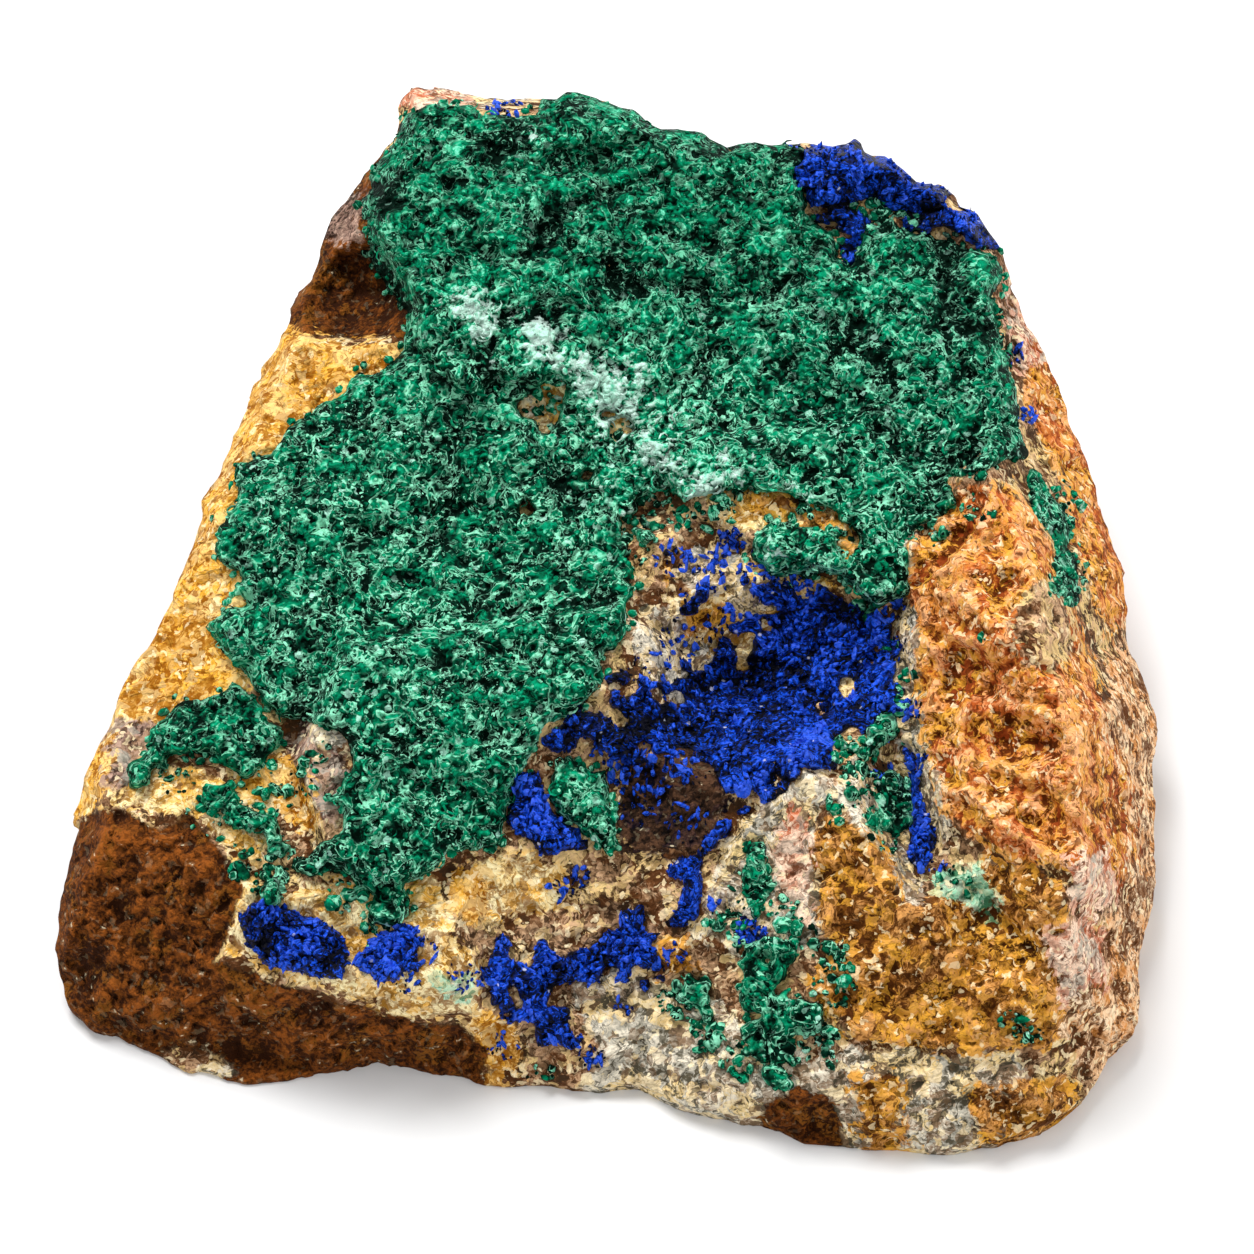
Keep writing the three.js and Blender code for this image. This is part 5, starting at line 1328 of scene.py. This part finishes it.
def rock_finish(colours):
    """Weathered rock: each zone's deep, middle and light tone, mixed by noise, and by relief and hollows as
    painted light on the bumps and painted shade in the dips; flecks, stains and dark dots in crooked cells,
    the dots painted as the shade of pits; pale threads, partly painted highlights; painted shadow lines in
    the crevices and along the limonite's border, and painted glints. The walls are limonite, apart from the
    right one."""
    finish = Finish("weathered rock")
    coarse, fine = finish.cloud(3, 3, 0.65), finish.cloud(0.6, 3, 0.7)
    bent = finish.bent(1.3, 2.0)
    patch = finish.cells(2.2, bent)[1]
    chip_middle, chip = finish.cells(1.0, bent)
    crumb_middle, crumb = finish.cells(0.5, bent)
    relief, hollow = finish.kept("relief"), finish.kept("hollow")
    border = (coarse - 0.5) * 2.4 + (fine - 0.5) * 1.4 + (chip - 0.5) * 1.2

    def tones(name):
        """A zone's deep, middle and light tone, and its flecks and stains."""
        power, shade, factor, warm, flecks, stains = ZONE_TONES[name]
        colour = getattr(colours, name)
        return (deepened(colour, power, shade), colour, lifted(colour, factor, warm),
                getattr(colours, flecks), getattr(colours, stains))

    shown = tones("dull")
    walls = finish.kept("down").over(2, 5)
    upper = 1 - (finish.kept("down") + (coarse - 0.5) * 8).over(3, 6)
    painted_shadow_lines, granular = 0.0, 0.0
    for number, (name, _, _) in enumerate(ZONES):
        crisp = name == "limonite"
        inside = finish.kept(f"{name}_{number}") + border * (0.45 if crisp else 1)
        mask = (inside * (5 if crisp else 3) + 0.5).clamped()
        if crisp:
            # A dark line painted along the limonite's border, as the shadow under the shelf's edge
            painted_shadow_lines = (1 - inside.maths("ABSOLUTE") * 5).clamped() + painted_shadow_lines
        if name in ("limonite", "dark"):
            granular = (mask + granular).clamped()
        if name in ("tan", "rust"):
            walls = (walls - mask).clamped()
        else:
            mask = mask * upper
        shown = [finish.mix(under, over, mask) for under, over in zip(shown, tones(name))]
    shown = [finish.mix(under, over, walls) for under, over in zip(shown, tones("limonite"))]
    granular = (walls + granular).clamped()
    deep, middle, light, fleck, stain = shown
    plates = finish.plates(2.4, 7, 1.2)
    grit = finish.cloud(0.35, 2, 0.6)
    # The tone: noise, and painted light and shade: lighter on bumps by the relief, darker in hollows, and the
    # plates' ramp, which follows their bumped height, darker at each plate's foot; the granular rock's tone
    # takes the relief as well
    tone = 0.47 + (fine - 0.5) * 1.5 + (coarse - 0.5) * 1.5 + (chip - 0.5) * 0.6 + (crumb - 0.5) * 0.4
    tone = tone + (plates - 0.5) * 0.4 + relief * 0.5 - hollow.maths("MAXIMUM", 0) * 0.04
    even = 0.42 + (grit - 0.5) * 2 + (fine - 0.5) * 2 + (coarse - 0.5) * 1.6 + relief * 0.9
    tone = tone * (1 - granular) + even * granular
    flecks = (patch + (fine - 0.5) * 0.4).over(0.62, 0.66) * (1 - granular)
    stains = (patch + (fine - 0.5) * 0.4).over(0.28, 0.24) * (1 - granular * 0.6)
    middle = finish.mix(finish.mix(middle, fleck, flecks * 0.8), stain, stains * 0.75)
    colour = finish.mix(finish.mix(deep, middle, tone.over(0.05, 0.42)), light, tone.over(0.54, 1.05))
    # Pale threads: fibres of the rock, and on the plates' raised edges a painted highlight as well
    threads = finish.threads(1.3, 0.08, 1.6) + plates.over(0.76, 0.94) * 0.7
    threads = threads * tone.over(0.2, 0.6) * finish.cloud(2.2, 2).over(0.4, 0.54)
    threads = (threads * (1 - granular * 0.7)).clamped()
    colour = finish.mix(colour, light, threads * 0.85)
    # Painted shade: dark dots as the shade of small pits, which the mesh doesn't have, and dark bands where
    # the plates drop, together with the painted shadow lines
    pits = chip_middle.over(0.34, 0.14) * chip.over(0.5, 0.52) * chip.over(0.72, 0.7)
    painted_crevice_shade = (1 - plates.over(0.02, 0.16)) * (1 - granular * 0.7)
    colour = finish.mix(colour, deep, (pits * 0.9 + painted_crevice_shade * 0.7 + painted_shadow_lines * 0.7).clamped())
    plain = 1 - granular * 0.9
    colour = finish.mix(colour, fleck, chip.over(0.8, 0.82) * 0.45 * plain)
    colour = finish.mix(colour, stain, chip.over(0.22, 0.2) * 0.45 * plain)
    colour = finish.mix(colour, lifted(colours.cream, 1.2, 0.5), crumb.over(0.9, 0.92) * 0.55 * plain)
    colour = finish.mix(colour, deep, crumb.over(0.12, 0.1) * 0.7)
    # Painted glints: tiny near-white specks, which are also less rough
    painted_glints = crumb_middle.over(0.3, 0.2) * crumb.over(0.965, 0.97) * (1 - granular * 0.4)
    colour = finish.mix(colour, lifted(colours.cream, 1.3, 0.7), painted_glints * 0.85)
    height = fine * 0.6 + crumb * 0.3 + plates * 0.3 + grit * granular * 0.5
    roughness = (0.85 - painted_glints * 0.45).clamped()
    return finish.done(colour, roughness, finish.bump(height, 0.55), specular=0.1)


def malachite_finish(colours):
    """Malachite: nearly black green in the pits and emerald on the flanks, as painted shade and light by its
    ridges, lumps and hollows; overlapping curled plates painted darker at each foot, with mint edges that are
    partly pale bands and partly painted highlights, and pale blots where it is chalky."""
    finish = Finish("malachite")
    coral, pale, back = finish.kept("coral"), finish.kept("pale"), finish.kept("back")
    cloud, fine = finish.cloud(3.6, 2, 0.6), finish.cloud(0.4, 3, 0.65)
    plates, leaves = finish.plates(2.4, 4, 1.4), finish.plates(1.2, 2.6, 1.6)
    # Painted light and shade in the tone: lighter on the ridges (coral, a random tint on the tufts and curls)
    # and by the relief, darker at each plate's foot, between the lumps and in hollows; it is also darker
    # towards the back, and paler on the pale bands
    tone = coral * 0.6 + (plates - 0.5) * 0.4 + (leaves - 0.5) * 0.35 + (fine - 0.5) * 0.5 - 0.06
    tone = tone + (cloud - 0.5) * 0.6 + (finish.kept("lump") - 0.7) * 0.35 + finish.kept("relief") * 0.25
    tone = tone - back * 0.25 - finish.kept("hollow").maths("MAXIMUM", 0) * 0.2
    tone = tone * (1 + pale * 0.5) + pale * 0.08
    colour = finish.ramp(tone.clamped(), [
        (0.0, deepened(colours.malachite_pit, 1, 0.25)), (0.2, colours.malachite_pit),
        (0.46, colours.malachite), (0.76, colours.malachite_leaf), (1.0, colours.mint),
    ])
    # Random patches of noise where the mint lines and the white dots show
    random_patches = finish.cloud(2.2, 2, 0.5).over(0.36, 0.52)
    # Mint lines at the plates' raised edges: partly the stone's pale bands, partly painted highlights
    lines = plates.over(0.7, 0.88) + leaves.over(0.72, 0.9)
    lines = (lines * random_patches * tone.over(-0.05, 0.3) * (1 - back * 0.5)).clamped()
    colour = finish.mix(colour, lifted(colours.mint, 1.2, 0.15), lines * 0.85)
    blots = pale * 1.1 + (finish.cloud(1.0, 3, 0.6) - 0.5) * 2.4 + (coral - 0.5) * 0.6 - 0.78
    blots = (blots * 4).clamped()
    colour = finish.mix(colour, light_of(colours.mint, 0.6), blots * (0.6 + lines * 0.4))
    dots, chance = finish.cells(1.2, finish.bent(0.8, 0.6))
    dots = dots.over(0.34, 0.26) * chance.over(0.84, 0.86) * (1 - back * 0.75) * (0.4 + random_patches * 0.6)
    colour = finish.mix(colour, light_of(colours.mint, 0.3), dots * 0.9)
    height = fine * 0.5 + plates * 0.5 + leaves * 0.35 + lines * 0.3
    return finish.done(colour, 0.75, finish.bump(height, 0.4), specular=0.04)


def azurite_finish(colours):
    """Azurite: nearly black in the grooves, between lumps and under the inner cliff as painted shade, its
    tone following the faces' height as painted light; ultramarine on plates and faces, powder blue where
    earthy.
    """
    finish = Finish("azurite")
    facet, glow = finish.kept("facet"), finish.kept("glow")
    cloud, fine = finish.cloud(2.4, 3, 0.6), finish.cloud(0.3, 4, 0.7)
    plates = finish.plates(1.8, 6, 1.2)
    # Painted light and shade in the tone: the faces' height (facet) darkens the grooves and lifts the raised
    # parts, with the relief; darker at each plate's foot and between lumps; on the loose crystals, facet is a
    # random tint
    tone = 0.13 + facet * 0.9 + (plates - 0.5) * 0.8 + (fine - 0.5) * 1.4 + (cloud - 0.5) * 2 + glow * 0.5
    tone = tone + finish.kept("relief") * 0.3 + (finish.kept("lump") - 0.5) * 0.6
    colour = finish.ramp(tone.clamped(), [
        (0.0, colours.azurite_pit), (0.28, blended(colours.azurite_pit, colours.azurite, 0.35)),
        (0.56, colours.azurite), (0.82, colours.powder_blue), (1.0, light_of(colours.powder_blue, 0.04)),
    ])
    # Pale blue lines at the plates' raised edges and along threads: streaks of powder, and on the edges
    # painted highlights as well
    lines = (plates.over(0.82, 0.94) + finish.threads(0.9, 0.05, 1.0) * 0.6) * tone.over(0.15, 0.5)
    colour = finish.mix(colour, colours.powder_blue, (lines * 0.7).clamped())
    # Painted glints: pale blue specks, which are also less rough
    glints, chance = finish.cells(1.1, finish.place)
    glints = glints.over(0.2, 0.14) * chance.over(0.86, 0.87)
    colour = finish.mix(colour, light_of(colours.powder_blue, 0.7), glints * 0.6)
    height = fine * 0.6 + plates * 0.6
    roughness = (0.5 - glints * 0.2 + glow * 0.15).clamped()
    return finish.done(colour, roughness, finish.bump(height, 0.35), specular=0.12)


def floor_finish(colours):
    """The plain pale floor, with the faintest unevenness."""
    finish = Finish("studio floor")
    cloud = finish.cloud(40, 2, 0.5)
    colour = finish.mix(colours.floor, deepened(colours.floor, 1, 0.99), cloud)
    return finish.done(colour, 0.9, finish.bump(cloud, 0.02), specular=0.1)


# The add-on: its settings, its operators and its panel


def colour_setting(name, description, screen):
    """A property for a colour, given as the screen shows it."""
    return FloatVectorProperty(name=name, description=description, default=linear(screen), size=4,
                               subtype="COLOR", min=0, max=1)


def length_setting(name, description, millimetres):
    """A property for a length, given in millimetres."""
    return FloatProperty(name=name, description=description, default=millimetres * MM, min=0, precision=5,
                         subtype="DISTANCE", unit="LENGTH")


class SpecimenSizes(bpy.types.PropertyGroup):
    """Lengths and counts of the specimen and the studio"""
    rock_step: length_setting("Rock step", "Distance between the rock's points", 0.345)
    malachite_relief: length_setting("Malachite relief", "Height of the malachite's curled ridges", 0.55)
    azurite_relief: length_setting("Azurite relief", "Height of the azurite's crystal faces", 0.7)
    tuft_size: length_setting("Tuft size", "Radius of a tuft on the malachite", 0.3)
    tuft_count: IntProperty(name="Tufts", description="Places tried for a tuft on the large crust",
                            default=7000)
    curl_size: length_setting("Curl size", "Radius of a curled blade on the malachite", 0.5)
    curl_count: IntProperty(name="Curls", description="Places tried for a curl on the large crust",
                            default=4500)
    speck_size: length_setting("Speck size", "Radius of a loose growth on the rock", 0.42)
    crystal_size: length_setting("Crystal size", "Half the length of an azurite crystal", 0.62)
    floor_width: length_setting("Floor width", "Width of the studio floor", 3000)


class SpecimenColours(bpy.types.PropertyGroup):
    """Colours of the minerals, the rock and the floor"""
    malachite_pit: colour_setting("Malachite pits", "The deepest green", (0, 46, 31))
    malachite: colour_setting("Malachite", "The green of the malachite's flanks", (0, 104, 70))
    malachite_leaf: colour_setting("Malachite leaves", "The brighter green of its edges", (0, 152, 108))
    mint: colour_setting("Mint", "The malachite's pale ridges", (108, 214, 176))
    azurite_pit: colour_setting("Azurite grooves", "The deepest blue", (1, 2, 14))
    azurite: colour_setting("Azurite", "The blue of the crystal faces", (1, 30, 108))
    powder_blue: colour_setting("Powder blue", "The earthy azurite", (10, 80, 222))
    limonite: colour_setting("Limonite", "The granular brown rock", (96, 50, 12))
    limonite_deep: colour_setting("Limonite pits", "The brown rock's pits", (44, 22, 7))
    dull: colour_setting("Brown rock", "The dull rock between the crusts", (146, 112, 80))
    mauve: colour_setting("Grey-brown rock", "The rock with a cast of mauve", (138, 108, 94))
    ochre: colour_setting("Ochre", "The yellow earthy rock", (232, 168, 54))
    cream: colour_setting("Cream clay", "The clay of the front shelf", (244, 210, 140))
    white: colour_setting("White rock", "The chalky white rock", (178, 172, 156))
    russet: colour_setting("Russet", "The reddish stains of the crag", (186, 84, 34))
    rust: colour_setting("Rust", "The crag's face", (208, 130, 50))
    amber: colour_setting("Amber", "The ochre of the hill and the front", (160, 104, 30))
    tan: colour_setting("Tan rock", "The streaked right flank", (230, 180, 132))
    dark: colour_setting("Dark rock", "The brown and blue knob", (50, 32, 20))
    verdigris: colour_setting("Pale green stain", "The stained clay", (136, 196, 160))
    pink: colour_setting("Pink rock", "The flesh-coloured rock", (230, 188, 160))
    floor: colour_setting("Floor", "The studio floor", (222, 222, 222))


# The random draws' first numbers: of the crusts' noise, and of the places and turns of what grows on them
MALACHITE_SEED, TUFT_PLACES, TUFT_TURNS, CURL_PLACES, CURL_TURNS = 400, 500, 600, 1000, 1100
AZURITE_SEED, CRYSTAL_PLACES, CRYSTAL_TURNS = 700, 800, 900
GREEN_SPECK_SEED, BLUE_SPECK_SEED = 1200, 1300
# The box round the large crust, about, in square millimetres: the counts of tufts and curls are for it
LARGE_CRUST = 5000
# Growths stand where a crust is thicker than this, tufts and curls also where its ridges are higher than this
GROWTH_RISE, CRYSTAL_RISE = 0.6, 0.5
TUFT_RIDGE, CURL_RIDGE = 0.45, 0.3
# Places tried on the smallest crusts, and the share of curls on the crusts after the first
TUFTS_LEAST, CURLS_LEAST, CURL_SHARE = 40, 20, 0.4
# How deep the growths stand in their crusts, and how far inside the rock's outline each kind stays
TUFT_SINK, GROWTH_SINK = 0.1, 0.15
TUFT_ROOM, CURL_ROOM, CRYSTAL_ROOM, SPECK_ROOM = 0.1, 0.5, 0.2, 0.4
# How far the loose growths' middles lie over the rock
SPECK_LIFT = 0.05


def values_under(values, on, **own):
    """A crust's values at the chosen places, apart from those that the growths there have of their own."""
    return {**{key: value[on] for key, value in values.items() if key != "fine"}, **own}


class SPECIMEN_OT_rock(bpy.types.Operator):
    """Build the rock with its terraces, hill, crag and broken walls"""
    bl_idname = "specimen.rock"
    bl_label = "Rock"

    def execute(self, context):
        sizes, colours = context.scene.specimen_sizes, context.scene.specimen_colours
        rock_surface(sizes.rock_step / MM, rock_finish(ColourValues(colours)))
        return {"FINISHED"}


class SPECIMEN_OT_malachite(bpy.types.Operator):
    """Build the malachite crusts with their curled ridges and tufts"""
    bl_idname = "specimen.malachite"
    bl_label = "Malachite"

    def execute(self, context):
        sizes, colours = context.scene.specimen_sizes, context.scene.specimen_colours
        finish = malachite_finish(ColourValues(colours))
        for number, (name, crust) in enumerate(MALACHITE.items()):
            height_at = malachite_height(crust, MALACHITE_SEED + number, sizes.malachite_relief)
            piece = crust_piece(name, crust["outline"], crust["step"], height_at, finish, True)
            us, vs = np.array(crust["outline"], float).T
            share = (us.max() - us.min()) * (vs.max() - vs.min()) / LARGE_CRUST
            tries = int(sizes.tuft_count * share) + TUFTS_LEAST
            u, v, chance = spots_in(crust["outline"], tries, TUFT_PLACES + number)
            base, rise, values = height_at(u, v)
            cover = cover_at(crust, u, v, MALACHITE_SEED + number)
            fringe = (cover > -0.8) & (cover < 0.2) & (chance > 0.5)
            on = (rise > GROWTH_RISE) & (values["coral"] > TUFT_RIDGE) | fringe
            on &= depth_inside(OUTLINE, u, v) > TUFT_ROOM
            size = sizes.tuft_size * (0.5 + 0.7 * chance[on]) * np.where(fringe[on], 1.3, 1)
            lift = np.where(fringe, np.maximum(rise, 0.2), rise)
            centres = placed(u[on], v[on], (base + lift)[on] - TUFT_SINK)
            tint = values_under(values, on, coral=0.35 + 0.6 * chance[on])
            tufts = scattered(name + "_tufts", (ROUND_POINTS, ROUND_FACES), centres, size, 0.4, 1.2,
                              TUFT_TURNS + number, tint, True, finish)
            tries = int(sizes.curl_count * (share if number == 0 else CURL_SHARE * share)) + CURLS_LEAST
            u, v, chance = spots_in(crust["outline"], tries, CURL_PLACES + number)
            base, rise, values = height_at(u, v)
            on = (rise > GROWTH_RISE) & (values["coral"] > CURL_RIDGE)
            on &= depth_inside(OUTLINE, u, v) > CURL_ROOM
            size = sizes.curl_size * (0.6 + 0.7 * chance[on])
            centres = placed(u[on], v[on], (base + rise)[on] - GROWTH_SINK)
            tint = values_under(values, on, coral=0.1 + 0.9 * chance[on])
            curled = scattered(name + "_curls", curl_shape(), centres, size, 0.3, 1.1,
                               CURL_TURNS + number, tint, True, finish)
        u, v, chance = spots_round(GREEN_SPECKS, GREEN_SPECK_SEED, SPECK_ROOM)
        size = sizes.speck_size * (0.4 + 1.3 * chance ** 3)
        centres = placed(u, v, rock_height(u, v) + SPECK_LIFT)
        tint = {"coral": 0.2 + 0.7 * (7 * chance % 1), "lump": 0.5 + 0.5 * chance, "pale": 0.3 * chance}
        specks = scattered("malachite_specks", (ROUND_POINTS, ROUND_FACES), centres, size, 0.6, 1.2,
                           GREEN_SPECK_SEED + 1, tint, True, finish)
        return {"FINISHED"}


class SPECIMEN_OT_azurite(bpy.types.Operator):
    """Build the azurite crusts with their crystals"""
    bl_idname = "specimen.azurite"
    bl_label = "Azurite"

    def execute(self, context):
        sizes, colours = context.scene.specimen_sizes, context.scene.specimen_colours
        finish = azurite_finish(ColourValues(colours))
        for number, (name, crust) in enumerate(AZURITE.items()):
            height_at = azurite_height(crust, AZURITE_SEED + number, sizes.azurite_relief)
            piece = crust_piece(name, crust["outline"], crust["step"], height_at, finish, False)
            u, v, chance = spots_in(crust["outline"], 3 * crust["shards"], CRYSTAL_PLACES + number)
            base, rise, values = height_at(u, v)
            on = (rise > CRYSTAL_RISE) & (depth_inside(OUTLINE, u, v) > CRYSTAL_ROOM)
            size = sizes.crystal_size * (0.45 + 0.75 * chance[on])
            centres = placed(u[on], v[on], (base + rise)[on] - GROWTH_SINK)
            tint = values_under(values, on, facet=chance[on] * 1.2 - 0.5)
            shards = scattered(name + "_crystals", crystal_shape(), centres, size, 0.35, 1.1,
                               CRYSTAL_TURNS + number, tint, False, finish)
        u, v, chance = spots_round(BLUE_SPECKS, BLUE_SPECK_SEED, SPECK_ROOM)
        size = sizes.speck_size * (0.6 + 1.3 * chance ** 2)
        centres = placed(u, v, rock_height(u, v) + SPECK_LIFT)
        tint = {"facet": chance * 1.2 - 0.5, "glow": 0.5 * chance, "lump": 0.3 + 0.5 * chance}
        specks = scattered("azurite_specks", crystal_shape(), centres, size, 0.35, 1.1, BLUE_SPECK_SEED + 1,
                           tint, False, finish)
        return {"FINISHED"}


class SPECIMEN_OT_stage(bpy.types.Operator):
    """Set up the floor, the soft lights and the camera"""
    bl_idname = "specimen.stage"
    bl_label = "Studio"

    def execute(self, context):
        sizes, colours = context.scene.specimen_sizes, context.scene.specimen_colours
        half = sizes.floor_width / 2
        corners = [(-half, -half, 0), (half, -half, 0), (half, half, 0), (-half, half, 0)]
        floor = mesh_piece("studio_floor", corners, [[range(4)]], None, False,
                           floor_finish(ColourValues(colours)))
        for name, place, size, power in STUDIO_LIGHTS:
            lamp = bpy.data.lights.new(name, "AREA")
            lamp.size, lamp.energy = size, power
            lamp_object = bpy.data.objects.new(name, lamp)
            aim = Vector(LIGHT_TARGET) - Vector(place)
            turn = aim.to_track_quat("-Z", "Y").to_matrix().to_4x4()
            lamp_object.matrix_world = Matrix.Translation(place) @ turn
            context.scene.collection.objects.link(lamp_object)
        world = bpy.data.worlds.new("studio air")
        world.use_nodes = True
        air = world.node_tree.nodes["Background"]
        air.inputs["Color"].default_value = (1, 1, 1, 1)
        air.inputs["Strength"].default_value = AIR_LIGHT
        context.scene.world = world
        lens = bpy.data.cameras.new("camera")
        lens.lens, lens.sensor_width = CAMERA_LENS, CAMERA_SENSOR
        camera = bpy.data.objects.new("camera", lens)
        raised = math.radians(CAMERA_ELEVATION)
        back = Vector((0, -math.cos(raised), math.sin(raised)))
        camera.matrix_world = (Matrix.Translation(Vector(CAMERA_TARGET) + CAMERA_DISTANCE * back)
                               @ Matrix.Rotation(math.pi / 2 - raised, 4, "X"))
        context.scene.collection.objects.link(camera)
        context.scene.camera = camera
        context.scene.view_settings.view_transform = "Standard"
        return {"FINISHED"}


CAMERA_TARGET = (0.00113, -0.00098, 0.014)
CAMERA_DISTANCE = 0.43
CAMERA_ELEVATION = 50
CAMERA_LENS = 135
CAMERA_SENSOR = 36
AIR_LIGHT = 0.78
LIGHT_TARGET = (0, 0, 0.015)
# Each light: name, place, width, power
STUDIO_LIGHTS = [
    ("key light", (-0.24, 0.3, 0.8), 0.4, 8),
    ("front light", (0.35, -0.6, 0.6), 0.5, 0.9),
    ("side light", (0.75, 0.05, 0.35), 0.4, 2),
]


class SPECIMEN_PT_panel(bpy.types.Panel):
    """The specimen's operators in the sidebar"""
    bl_idname = "SPECIMEN_PT_panel"
    bl_label = "Specimen"
    bl_space_type = "VIEW_3D"
    bl_region_type = "UI"
    bl_category = "Specimen"

    def draw(self, context):
        for operator in OPERATORS:
            self.layout.operator(operator.bl_idname)


OPERATORS = (SPECIMEN_OT_rock, SPECIMEN_OT_malachite, SPECIMEN_OT_azurite, SPECIMEN_OT_stage)
CLASSES = (SpecimenSizes, SpecimenColours, *OPERATORS, SPECIMEN_PT_panel)


class ColourValues:
    """The colours of a SpecimenColours as plain tuples."""

    def __init__(self, group):
        for key in group.bl_rna.properties.keys():
            if key not in ("rna_type", "name"):
                setattr(self, key, tuple(getattr(group, key)))


def register():
    """Register the add-on's classes and settings."""
    for cls in CLASSES:
        bpy.utils.register_class(cls)
    bpy.types.Scene.specimen_sizes = PointerProperty(type=SpecimenSizes)
    bpy.types.Scene.specimen_colours = PointerProperty(type=SpecimenColours)


def unregister():
    """Take them away again."""
    del bpy.types.Scene.specimen_sizes
    del bpy.types.Scene.specimen_colours
    for cls in reversed(CLASSES):
        bpy.utils.unregister_class(cls)


def main():
    """Build the specimen and its studio."""
    register()
    bpy.ops.specimen.stage()
    bpy.ops.specimen.rock()
    bpy.ops.specimen.malachite()
    bpy.ops.specimen.azurite()


if __name__ == "__main__":
    main()
